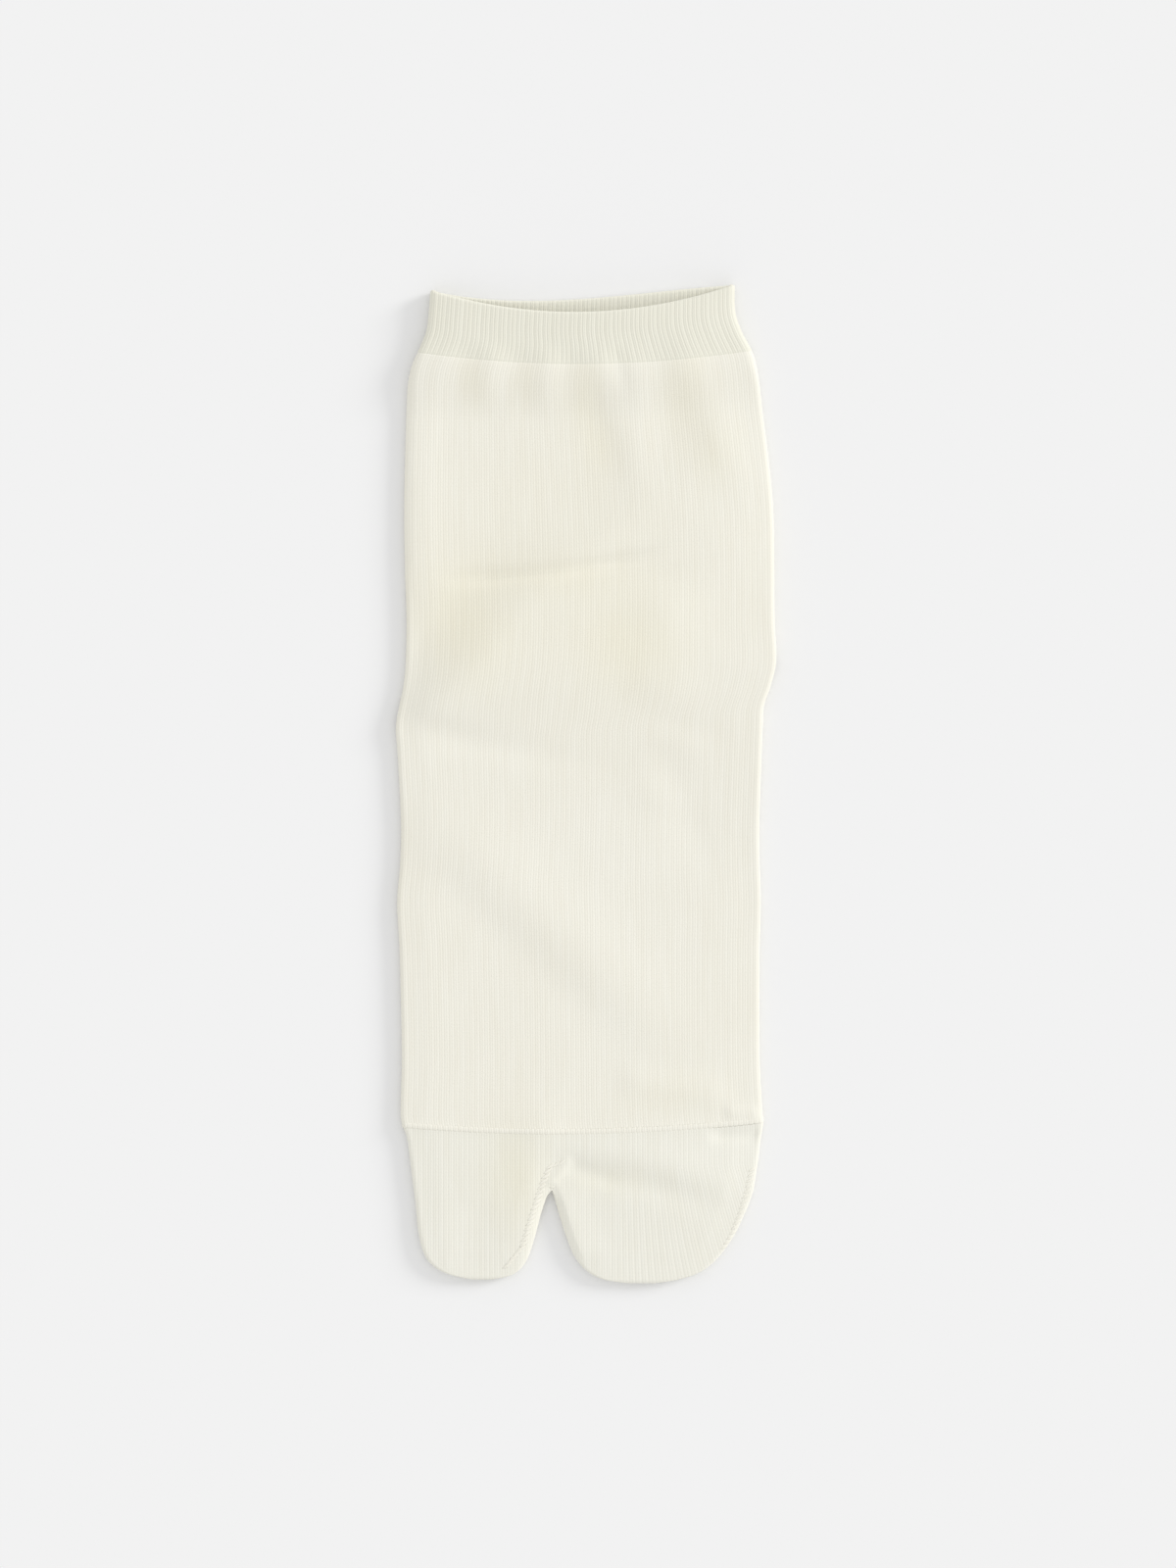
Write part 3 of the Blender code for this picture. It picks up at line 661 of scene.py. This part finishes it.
class Knitting:
    """Vertices, faces and knit coordinates of one piece. The coordinates count wales and courses."""

    def __init__(self):
        self.points, self.faces, self.coordinates = [], [], []

    def rings(self, points, wales, courses, inward=False):
        """Adds closed rings, which run over the front from left to right and down the sock, and
        gives back their vertex numbers. wales has one more column than the rings have points."""
        count = sum(len(p) for p in self.points)
        rows, columns = points.shape[:2]
        self.points.append(points.reshape(-1, 3))
        numbers = count + np.arange(rows * columns).reshape(rows, columns)
        following = np.roll(numbers, -1, axis=1)
        quads = np.stack([numbers[:-1], numbers[1:], following[1:], following[:-1]], axis=-1)
        knit = np.stack([wales, np.broadcast_to(courses, wales.shape)], axis=-1)
        corners = np.stack([knit[:-1, :-1], knit[1:, :-1], knit[1:, 1:], knit[:-1, 1:]], axis=2)
        if inward:
            quads, corners = quads[:, :, ::-1], corners[:, :, ::-1]
        self.faces += quads.reshape(-1, 4).tolist()
        self.coordinates.append(corners.reshape(-1, 2))
        return numbers

    def face(self, numbers):
        """Adds one face of vertices with these numbers, in the middle of a stitch."""
        self.faces.append([int(n) for n in numbers])
        self.coordinates.append(np.full((len(numbers), 2), 0.5))

    def rim(self, big, small):
        """Joins two rings; the small one may have fewer points by a whole factor."""
        factor = len(big) // len(small)
        for i, corner in enumerate(small):
            following = small[(i + 1) % len(small)]
            run = [big[(i * factor + k) % len(big)] for k in range(factor + 1)]
            if factor == 1:
                self.face((run[0], run[1], following, corner))
                continue
            half = factor // 2
            for k in range(factor):
                self.face((run[k], run[k + 1], corner if k < half else following))
            self.face((corner, run[half], following))

    def close_flat(self, ring, inward=False):
        """Closes a flattened ring with a strip between its front and its back."""
        order = 1 if inward else -1
        count = len(ring)
        middle = count // 2
        self.face((ring[0], ring[1], ring[-1])[::order])
        for i in range(1, middle - 1):
            self.face((ring[i], ring[i + 1], ring[count - i - 1], ring[count - i])[::order])
        self.face((ring[middle - 1], ring[middle], ring[middle + 1])[::order])

    def make(self, name, material, weld=0.0):
        """The piece as a smooth-shaded object. A weld merges vertices that are that near, in metres:
    where two skins meet, or where a ring closes."""
        mesh = bpy.data.meshes.new(name)
        mesh.from_pydata((np.concatenate(self.points) * MM).tolist(), [], self.faces)
        layer = mesh.uv_layers.new(name="Knit")
        layer.data.foreach_set("uv", np.concatenate(self.coordinates).ravel())
        editable = bmesh.new()
        editable.from_mesh(mesh)
        if weld:
            bmesh.ops.remove_doubles(editable, verts=editable.verts[:], dist=weld)
        bmesh.ops.recalc_face_normals(editable, faces=editable.faces[:])
        editable.to_mesh(mesh)
        editable.free()
        mesh.shade_smooth()
        mesh.materials.append(material)
        made = bpy.data.objects.new(name, mesh)
        bpy.context.scene.collection.objects.link(made)
        return made


def wale_height(share):
    """A wale's rounded back at that share of its width, from 0 in the groove to 1 on top."""
    return np.abs(np.sin(math.pi * share)) ** WALE_POWER


def rib_height(share):
    """A rib's back: two rows of loops with a dip between, and a groove on each side."""
    aside = np.abs(share - np.round(share))
    dip = RIB_DIP * np.exp(-((aside / RIB_DIP_WIDTH) ** 2))
    return np.abs(np.cos(math.pi * aside)) ** RIB_POWER * (1 - dip)


# ---- The pieces ----


def make_tube(material):
    """The leg and foot: a knitted tube whose wales stand out in fine relief."""
    ys = np.array(row_heights(CUFF_SEAM.y + TUCK, TUBE_RUNS))
    count = WALES * POINTS_PER_WALE
    wales = np.linspace(0, WALES, count + 1)
    tuck = TUCK_DEPTH * ramp_at(CUFF_SEAM.y, TUCK_RAMP, ys)[:, None]
    plain = blend(TOE_SEAM.y, TOE_SEAM.y + SEAM_PLAIN, ys)[:, None]
    relief = WALE_RELIEF * (wale_height(wales[:-1])[None, :] * plain - 1)
    outer = settle(even_grid(ys, count), relief - tuck)
    inner_ys = np.append(ys[:-2:INNER_ROW_SHARE], ys[-1])
    inner = settle(even_grid(inner_ys, WALES, KNIT_WALL), 0.0, lining=True)
    knitting = Knitting()
    outside = knitting.rings(outer, np.tile(wales, (len(ys), 1)), -ys[:, None] / COURSE_PITCH)
    inner_wales = np.tile(np.arange(WALES + 1.0), (len(inner_ys), 1))
    inside = knitting.rings(inner, inner_wales, -inner_ys[:, None] / COURSE_PITCH, inward=True)
    knitting.rim(outside[0], inside[0])
    knitting.rim(outside[-1], inside[-1])
    made = knitting.make("leg_and_foot_knit", material)
    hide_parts("leg_and_foot")
    return made


def make_cuff(material):
    """The cuff: a ribbed welt of double knit, ribbed on both faces, with a rounded upper rim."""
    count = RIBS * POINTS_PER_RIB
    shares = np.linspace(0, RIBS, count + 1)
    outward = RIB_RELIEF * (rib_height(shares[:-1]) - 1)
    inward = RIB_RELIEF * (1 - rib_height(shares[:-1] + 0.5)) - CUFF_WALL
    ys = row_heights(MOUTH.y - MOUTH_ROUND, CUFF_RUNS)[::-1]
    rows, raised = list(ys), []
    for y in ys:
        ribbed = float(ramp_at(CUFF_SEAM.y, RIBS_RAMP, y))
        sunk = HEM_DEPTH * float(1 - ramp_at(CUFF_SEAM.y, HEM_RAMP, y))
        raised.append(outward * ribbed - sunk)
    for turn in np.linspace(0, math.pi, MOUTH_RINGS)[1:-1]:
        share = 0.5 + 0.5 * math.cos(turn)
        rows.append(MOUTH.y - MOUTH_ROUND + MOUTH_ROUND * math.sin(turn))
        raised.append(share * outward + (1 - share) * inward)
    for y in ys[::-2]:
        rows.append(y)
        raised.append(inward)
    rows = np.array(rows)
    knitting = Knitting()
    points = settle(even_grid(rows, count), np.array(raised))
    wales = np.tile(2 * shares, (len(rows), 1))
    numbers = knitting.rings(points, wales, -rows[:, None] / COURSE_PITCH, inward=True)
    knitting.rim(numbers[-1], numbers[0])
    made = knitting.make("ribbed_cuff", material)
    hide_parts("cuff")
    return made


def toe_inland(x, y, left, right):
    """How far (x, y) is from the nearest edge of the toe, the crotch being an edge too."""
    above = y > CROTCH_Y - CROTCH_MARGIN
    crotch = np.where(above, np.hypot(x - CROTCH_X, y - CROTCH_Y), FAR)
    return np.minimum(np.minimum(x - left, right - x), crotch)


def toe_wales(x, y):
    """Which wale of the toe passes (x, y). The other toes' wales lean out to the little toe."""
    below = np.clip(TOE_LEAN_BELOW - y, 0.0, TOE_LEAN_MOST)
    lean = TOE_LEAN * below * blend(*TOE_LEAN_BEGINS, x)
    return (x - lean) / WALE_PITCH


def steepness(table, y, column):
    """How much longer a step along the pocket's edge at y is than its height."""
    run = read(table, y + 0.5, column) - read(table, y - 0.5, column)
    return np.sqrt(1 + run**2)


def flattened(left, right, half, columns, steps, squash_left, squash_right):
    """One section's stations (x, rise, across, up), from the middle of its left fold over the
    front. Two counts of columns meet above the crotch. A squash of 0 makes a fold a line."""
    start, end = left + half * squash_left, right - half * squash_right
    if len(columns) == 1:
        xs = np.linspace(start, end, columns[0] + 1)
    else:
        xs = np.linspace(start, CROTCH_X, columns[0] + 1)
        xs = np.append(xs, np.linspace(CROTCH_X, end, columns[1] + 1)[1:])

    def arc(centre, first, last, squash):
        """Stations round a folded edge, all but the last."""
        count = round(steps * abs(last - first) / math.pi)
        angle = np.linspace(first, last, count + 1)[:-1]
        across, up = squash * np.cos(angle), np.sin(angle)
        return np.stack([centre + half * across, half * squared(up), across, up])

    def flat(points, up):
        """Stations along the front or the back."""
        return np.stack([points, half * up + 0 * points, 0 * points, up + 0 * points])

    parts = [
        arc(start, math.pi, math.pi / 2, squash_left),
        flat(xs[:-1], 1.0),
        arc(end, math.pi / 2, -math.pi / 2, squash_right),
        flat(xs[:0:-1], -1.0),
        arc(start, -math.pi / 2, -math.pi, squash_left),
    ]
    return np.concatenate(parts, axis=1)


def settle_toe(knitting, stations, ys, halves, edges, wall, tip=None):
    """Adds the toe's rings from their stations, the outer ones with the wales' relief."""
    stations = np.array(stations)
    x, up = stations[:, 0], stations[:, 3]
    y, half = np.array(ys)[:, None], np.array(halves)[:, None]
    left, right = np.array(edges)[:, :1], np.array(edges)[:, 1:]
    inland = toe_inland(x, y, left, right)
    if tip is not None:
        inland = np.minimum(inland, np.maximum(y - tip, 0.0))
    wales = toe_wales(x, y)
    plain = 1 - blend(TOE_SEAM.y - SEAM_PLAIN, TOE_SEAM.y, y)
    raised = 0.0 if wall else WALE_RELIEF * (wale_height(wales) * plain - 1) * np.abs(up)
    grid = Grid(x, stations[:, 1], stations[:, 2], up, y, half, inland)
    points = settle(grid, raised, lining=wall > 0.0)
    wales = np.concatenate([wales, wales[:, :1]], axis=1)
    return knitting.rings(points, wales, -y / COURSE_PITCH, inward=wall > 0.0)


def toe_skin(knitting, wall, columns, steps, rows_above, pocket_rows):
    """One skin of the toe: the rings above the crotch, then the two closed pockets. It gives back
    the ring at the seam."""
    half = FOOT_HALF - wall
    crotch = CROTCH_Y + wall
    ys = [y for y in rows_above if y > crotch + CROTCH_ROW] + [crotch]
    edges = [tuple(float(v) for v in tube_sides(y)) for y in ys]
    stations = [
        flattened(left + wall, right - wall, half, columns, steps, 1.0, 1.0)
        for left, right in edges
    ]
    first = settle_toe(knitting, stations, ys, [half] * len(ys), edges, wall)[0]
    add_pocket(knitting, wall, BIG_TOE, columns[0], steps, pocket_rows)
    add_pocket(knitting, wall, OTHER_TOES, columns[1], steps, pocket_rows)
    return first


def add_pocket(knitting, wall, table, columns, steps, rows):
    """One skin of one pocket, from the crotch to its closed tip, which is rounded as the side edges
    are. Its fold beside the crotch starts as a line and opens below it."""
    on_left, tip = table is BIG_TOE, table[-1].y
    crotch, last = CROTCH_Y + wall, tip + (FOOT_HALF if wall else 0.0)
    stations, edges, halves, ys = [], [], [], []
    for share in 1 - (1 - np.linspace(0, 1, rows)) ** POCKET_CROWDING:
        y = crotch + (last - crotch) * float(share)
        squash = float(min(1.0, share / POCKET_OPENS))
        short = max(0.0, 1 - (y - tip) / FOOT_HALF)
        half = FOOT_HALF * squared(math.sqrt(max(TIP_LEAST, 1 - short**2))) - wall
        left, right = pocket_sides(table, y, on_left)
        edges.append(tuple(float(v) for v in tube_sides(y)) if y > CROTCH_Y else (left, right))
        sides = (1.0, squash) if on_left else (squash, 1.0)
        left += wall * sides[0] * float(steepness(table, y, "left"))
        right -= wall * sides[1] * float(steepness(table, y, "right"))
        stations.append(flattened(left, right, half, [columns], steps, *sides))
        halves.append(half)
        ys.append(y)
    rings = settle_toe(knitting, stations, ys, halves, edges, wall, tip)
    knitting.close_flat(rings[-1], inward=wall > 0.0)


def pocket_sides(table, y, on_left):
    """The left and right edges of one pocket at y, which may be just above the crotch."""
    if y <= CROTCH_Y:
        return float(read(table, y, "left")), float(read(table, y, "right"))
    left, right = (float(v) for v in tube_sides(y))
    return (left, CROTCH_X) if on_left else (CROTCH_X, right)


def make_toe(material):
    """The split toe: two knitted pockets side by side."""
    knitting = Knitting()
    rows_above = row_heights(TOE_SEAM.y, TOE_RUNS)
    edge = TUBE_EDGES[-1]
    few = [
        round((CROTCH_X - edge.left) / TOE_STEP / INNER_SHARE),
        round((edge.right - CROTCH_X) / TOE_STEP / INNER_SHARE),
    ]
    many = [count * INNER_SHARE for count in few]
    outer = toe_skin(knitting, 0.0, many, ARC_STEPS, rows_above, POCKET_ROWS)
    inner_rows = rows_above[::INNER_ROW_SHARE]
    inner_steps = ARC_STEPS // INNER_SHARE
    inner = toe_skin(knitting, KNIT_WALL, few, inner_steps, inner_rows, INNER_POCKET_ROWS)
    knitting.rim(outer, inner)
    made = knitting.make("split_toe", material, weld=SKINS_MEET)
    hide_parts("toe")
    return made


def make_toe_seam(material):
    """The linked seam round the top of the toe: a row of small loops, half sunk in the knit."""
    count = WALES * LOOP_POINTS
    grid = even_grid([TOE_SEAM.y], count)
    turn = 2 * math.pi * np.arange(LOOP_SIDES) / LOOP_SIDES
    loop = 2 * math.pi * np.arange(count) / LOOP_POINTS
    plump = 1 - LOOP_PLUMP + LOOP_PLUMP * np.cos(loop)
    raised = SEAM_LOOP.high * np.sin(turn)[:, None] * plump[None, :] - SEAM_LOOP.sunk
    points = np.concatenate([settle(grid, row[None, :]) for row in raised])
    points[:, :, 1] += SEAM_LOOP.wide * np.cos(turn)[:, None] * plump[None, :]
    points = np.concatenate([points, points[:1]])
    points[:, :, 2] = np.maximum(points[:, :, 2], LOOP_OFF_FLOOR)
    wales = np.tile(np.linspace(0, WALES, count + 1), (LOOP_SIDES + 1, 1))
    courses = np.linspace(0, 1, LOOP_SIDES + 1)[:, None]
    knitting = Knitting()
    knitting.rings(points, wales, courses, inward=True)
    return knitting.make("toe_seam_loops", material, weld=SAME_PLACE)


def along_path(path, pitch):
    """Points at even distances on a line through the path's points."""
    points = np.array(path)
    steps = np.hypot(*np.diff(points, axis=0).T)
    reached = np.concatenate([[0.0], np.cumsum(steps)])
    distances = np.arange(pitch / 2, reached[-1], pitch)
    return [[float(np.interp(d, reached, points[:, k])) for k in (0, 1)] for d in distances]


def front_height(trees, x, y):
    """The height of the sock's front at (x, y), or None beside it."""
    start, down = Vector((x * MM, y * MM, 1.0)), Vector((0.0, 0.0, -1.0))
    hits = [tree.ray_cast(start, down)[0] for tree in trees]
    heights = [hit.z / MM for hit in hits if hit is not None]
    return max(heights) if heights else None


def surface_tree(piece):
    """The piece's surface, for finding where a ray meets it."""
    vertices = [v.co.copy() for v in piece.data.vertices]
    return BVHTree.FromPolygons(vertices, [tuple(f.vertices) for f in piece.data.polygons])


def add_stitch(knitting, trees, middle, row):
    """One tapered yarn along the front's surface, unless it reaches beyond the sock's edge."""
    forward = np.array([math.cos(math.radians(row.angle)), math.sin(math.radians(row.angle))])
    aside = np.array([-forward[1], forward[0]])
    shares = np.linspace(-STITCH_REACH, STITCH_REACH, STITCH_RINGS)
    turn = 2 * math.pi * np.arange(STITCH_SIDES) / STITCH_SIDES
    centres = np.array(middle) + shares[:, None] * forward * row.length / 2
    heights = [front_height(trees, *centre) for centre in centres]
    if None in heights:
        return
    radius = row.radius * (1 - shares**2)[:, None]
    places = centres[:, None, :] + (radius * np.cos(turn))[:, :, None] * aside
    z = np.array(heights)[:, None] + radius * STITCH_FLATNESS * np.sin(turn)
    points = np.concatenate([places, z[:, :, None]], axis=2)
    wales = np.tile(np.linspace(0, 1, STITCH_SIDES + 1), (STITCH_RINGS, 1))
    numbers = knitting.rings(points, wales, np.linspace(0, 1, STITCH_RINGS)[:, None])
    knitting.face(numbers[0])
    knitting.face(numbers[-1])


def make_stitches(pieces, material):
    """The stitches of the gore beside the big toe, along the little toe and at the crotch."""
    trees = [surface_tree(piece) for piece in pieces]
    knitting = Knitting()
    for row in STITCHING:
        for middle in along_path(row.path, row.pitch):
            add_stitch(knitting, trees, middle, row)
    return knitting.make("toe_stitches", material)


def paint_shade_and_tone(piece):
    """Stores how much darker and yellower the cotton is painted at each of the piece's points:
    painted shade in the dips and around the heel, and the leg's own tone.
    """
    mesh = piece.data
    places = np.empty(len(mesh.vertices) * 3)
    mesh.vertices.foreach_get("co", places)
    x, y = places[0::3] / MM, places[1::3] / MM
    stored = mesh.attributes.new("ShadeAndTone", "FLOAT", "POINT")
    stored.data.foreach_set("value", np.clip(bulge_height(SHADE_AND_TONE_PATCHES, x, y), 0.0, 1.0))


def heel_side(tilted, side):
    """Where the pocket's outline is on a line parallel to its hinge, on the side of -1 or 1, found
    by halving the way to a place far beyond it."""
    near, far = 0.0, side * FAR
    for _ in range(HALVINGS):
        x = (near + far) / 2
        if rounded(beyond_sides(x, tilted + HEEL_SLOPE * x)) < 0.0:
            near = x
        else:
            far = x
    return max(-HEEL_HALF_WIDTH, min(HEEL_HALF_WIDTH, near))


def heel_ring(tilted, angle):
    """The heel pocket's ring at that height up its slope, and that angle round its far edge."""
    full = HEEL_THICK / 2
    left, right = (heel_side(min(tilted, HEEL_LAST_SIDES), side) for side in (-1, 1))
    room = float(lift_under(0.0, tilted)) - HEEL_GAP
    half = max(HEEL_LEAST_HALF, min(full, room / 2)) * math.cos(angle)
    x, rise, _, up = flattened(left, right, half, [HEEL_COLUMNS], ARC_STEPS, 1.0, 1.0)
    y = tilted + HEEL_SLOPE * x
    middle = half if angle == 0.0 else full
    ceiling = np.maximum(lift_under(x, y) - HEEL_GAP, HEEL_LEAST_HEIGHT)
    groove = WALE_RELIEF * (1 - wale_height(x / WALE_PITCH))
    z = np.minimum(middle + rise - groove * up, ceiling)
    return np.stack([x, y, z], axis=-1)


def make_heel(material):
    """The heel pocket: two layers pressed flat, from its thin root below the hinge to its rounded
    far edge."""
    full = HEEL_THICK / 2
    root, end = HEEL_HINGE - HEEL_ROOT, HEEL_FAR - full
    tilts = [(t, 0.0) for t in np.linspace(root, end, HEEL_ROWS)]
    tilts += [(end + full * math.sin(a), a) for a in np.radians(HEEL_END_ANGLES)]
    points = np.array([heel_ring(tilted, angle) for tilted, angle in tilts])
    wales = np.concatenate([points[:, :, 0], points[:, :1, 0]], axis=1) / WALE_PITCH
    courses = np.array([t for t, _ in tilts])[:, None] / COURSE_PITCH
    knitting = Knitting()
    rings = knitting.rings(points, wales, courses, inward=True)
    knitting.close_flat(rings[-1], inward=True)
    knitting.close_flat(rings[0])
    made = knitting.make("heel_pocket", material)
    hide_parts("heel")
    return made


# ---- Materials ----


def math_node(tree, operation, *values):
    """The result of a Math node. Each value is a number or another node's output."""
    node = tree.nodes.new("ShaderNodeMath")
    node.operation = operation
    for socket, value in zip(node.inputs, values):
        if isinstance(value, (int, float)):
            socket.default_value = value
        else:
            tree.links.new(value, socket)
    return node.outputs[0]


def noise_node(tree, place, noise):
    """Noise from 0 to 1 at that place."""
    node = tree.nodes.new("ShaderNodeTexNoise")
    node.inputs["Scale"].default_value = noise.scale
    node.inputs["Detail"].default_value = noise.detail
    tree.links.new(place, node.inputs["Vector"])
    return node.outputs["Fac"]


def stitch_height(tree, knit):
    """V-shaped stitches in the knit's wales and courses, from 0 in the grooves to 1."""
    calculate = partial(math_node, tree)
    split = tree.nodes.new("ShaderNodeSeparateXYZ")
    tree.links.new(knit, split.inputs[0])
    wale, course = split.outputs[0], split.outputs[1]
    across = calculate("SUBTRACT", calculate("FRACT", wale), 0.5)
    from_middle = calculate("MULTIPLY", calculate("ABSOLUTE", across), 2.0)
    leaning = calculate("SUBTRACT", course, calculate("MULTIPLY", from_middle, STITCH_LEAN))
    turn = calculate("MULTIPLY", leaning, 2 * math.pi)
    loop = calculate("MULTIPLY_ADD", calculate("COSINE", turn), STITCH_LOOP, 1 - STITCH_LOOP)
    leg = calculate("SINE", calculate("MULTIPLY", from_middle, math.pi))
    return calculate("MULTIPLY", calculate("POWER", leg, STITCH_POWER), loop)


def cotton_colour(tree, cotton, knit, space, stitch):
    """The cotton's colour: lighter on the stitches and darker in the grooves, which is painted light
    and shade, a little uneven along each yarn and in soft clouds, and darker and yellower where the
    piece's stored share says so, which is painted shade in the dips and around the heel and, over
    the leg, the cotton's own tone."""
    calculate = partial(math_node, tree)
    stretched = tree.nodes.new("ShaderNodeMapping")
    stretched.inputs["Scale"].default_value = (1.0, YARN_ALONG_WALE, 1.0)
    tree.links.new(knit, stretched.inputs["Vector"])
    clouds = calculate("MULTIPLY", noise_node(tree, space, CLOUD), CLOUD.share)
    yarn = noise_node(tree, stretched.outputs[0], YARN)
    uneven = calculate("MULTIPLY_ADD", yarn, YARN.share, clouds)
    ramp = tree.nodes.new("ShaderNodeValToRGB")
    for element, place, colour in zip(
        ramp.color_ramp.elements, COLOUR_RANGE, (cotton.dark, cotton.light)
    ):
        element.position = place
        element.color = (*colour, 1.0)
    # The stitch's height makes the stitches' backs lighter and the grooves darker in colour: painted
    # light and shade.
    tree.links.new(calculate("MULTIPLY_ADD", stitch, STITCH_LIGHT_AND_SHADE_SHARE, uneven), ramp.inputs[0])
    # The piece's stored share tints the colour darker and yellower: painted shade in the dips and
    # around the heel, and the leg's own tone.
    shade_and_tone_attribute = tree.nodes.new("ShaderNodeAttribute")
    shade_and_tone_attribute.attribute_name = "ShadeAndTone"
    shade_and_tone_mix = tree.nodes.new("ShaderNodeMix")
    shade_and_tone_mix.data_type = "RGBA"
    shade_and_tone_mix.blend_type = "MULTIPLY"
    shade_and_tone_mix.inputs["B"].default_value = (*SHADE_AND_TONE_TINT, 1.0)
    tree.links.new(shade_and_tone_attribute.outputs["Fac"], shade_and_tone_mix.inputs["Factor"])
    tree.links.new(ramp.outputs[0], shade_and_tone_mix.inputs["A"])
    return shade_and_tone_mix.outputs["Result"]


def knit_material(cotton):
    """Cotton knit: stitches in the piece's own wales and courses, fine fuzz, and yarn that is a
    little uneven in colour."""
    material = bpy.data.materials.new(cotton.name)
    material.use_nodes = True
    tree = material.node_tree
    shader = tree.nodes["Principled BSDF"]
    shader.inputs["Roughness"].default_value = 0.88
    shader.inputs["Sheen Weight"].default_value = 0.25
    shader.inputs["Sheen Roughness"].default_value = 0.5
    shader.inputs["Specular IOR Level"].default_value = 0.25
    knit = tree.nodes.new("ShaderNodeUVMap")
    knit.uv_map = "Knit"
    space = tree.nodes.new("ShaderNodeTexCoord").outputs["Object"]
    stitch = stitch_height(tree, knit.outputs[0])
    fuzz = noise_node(tree, space, FUZZ)
    bump = tree.nodes.new("ShaderNodeBump")
    bump.inputs["Strength"].default_value = BUMP_STRENGTH
    bump.inputs["Distance"].default_value = BUMP_DISTANCE
    height = math_node(tree, "MULTIPLY_ADD", fuzz, FUZZ.share, stitch)
    tree.links.new(height, bump.inputs["Height"])
    tree.links.new(bump.outputs[0], shader.inputs["Normal"])
    colour = cotton_colour(tree, cotton, knit.outputs[0], space, stitch)
    tree.links.new(colour, shader.inputs["Base Color"])
    return material


# ---- The set ----


def make_floor():
    """A plain pale floor under the sock."""
    bpy.ops.mesh.primitive_plane_add(size=FLOOR_SIZE)
    floor = bpy.context.object
    floor.name = "floor"
    material = bpy.data.materials.new("pale_floor")
    material.use_nodes = True
    shader = material.node_tree.nodes["Principled BSDF"]
    shader.inputs["Base Color"].default_value = FLOOR_GREY
    shader.inputs["Roughness"].default_value = 1.0
    shader.inputs["Specular IOR Level"].default_value = 0.0
    floor.data.materials.append(material)


def make_light():
    """An even white tent, and one soft light from the sock's right."""
    world = bpy.data.worlds.new("studio")
    world.use_nodes = True
    background = world.node_tree.nodes["Background"]
    background.inputs["Color"].default_value = (1.0, 1.0, 1.0, 1.0)
    background.inputs["Strength"].default_value = TENT_STRENGTH
    bpy.context.scene.world = world
    light = bpy.data.lights.new(SIDE_LIGHT.name, "SUN")
    light.energy = SIDE_LIGHT.energy
    light.angle = math.radians(SIDE_LIGHT.width)
    lamp = bpy.data.objects.new(SIDE_LIGHT.name, light)
    lamp.rotation_euler = (0.0, math.radians(SIDE_LIGHT.tilt), math.radians(SIDE_LIGHT.turn))
    bpy.context.scene.collection.objects.link(lamp)


def make_camera():
    """The camera, straight above the sock."""
    lens = bpy.data.cameras.new("camera")
    lens.sensor_width = SENSOR
    lens.lens = SENSOR * CAMERA_HEIGHT / FRAME_HEIGHT
    lens.clip_start = NEAREST
    camera = bpy.data.objects.new("camera", lens)
    camera.location = (FRAME_MIDDLE_X * MM, 0.0, CAMERA_HEIGHT * MM)
    bpy.context.scene.collection.objects.link(camera)
    bpy.context.scene.camera = camera
    bpy.context.scene.view_settings.view_transform = "Standard"


def main():
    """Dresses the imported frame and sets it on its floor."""
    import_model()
    knit = knit_material(FINE_KNIT)
    tube = make_tube(knit)
    cuff = make_cuff(knit_material(FINE_RIB))
    # The toe's copy of the cotton is a little darker: painted shade over the toe.
    toe = make_toe(knit_material(TOE_KNIT_TONE_AND_SHADE))
    heel = make_heel(knit)
    seam = make_toe_seam(knit)
    stitches = make_stitches([tube, toe], knit)
    for piece in (tube, cuff, toe, heel, seam, stitches):
        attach(piece, "root")
    # Painted shade in the dips and around the heel, with the leg's own tone, stored on the tube and
    # the toe.
    for piece in (tube, toe):
        paint_shade_and_tone(piece)
    make_floor()
    make_light()
    make_camera()


main()
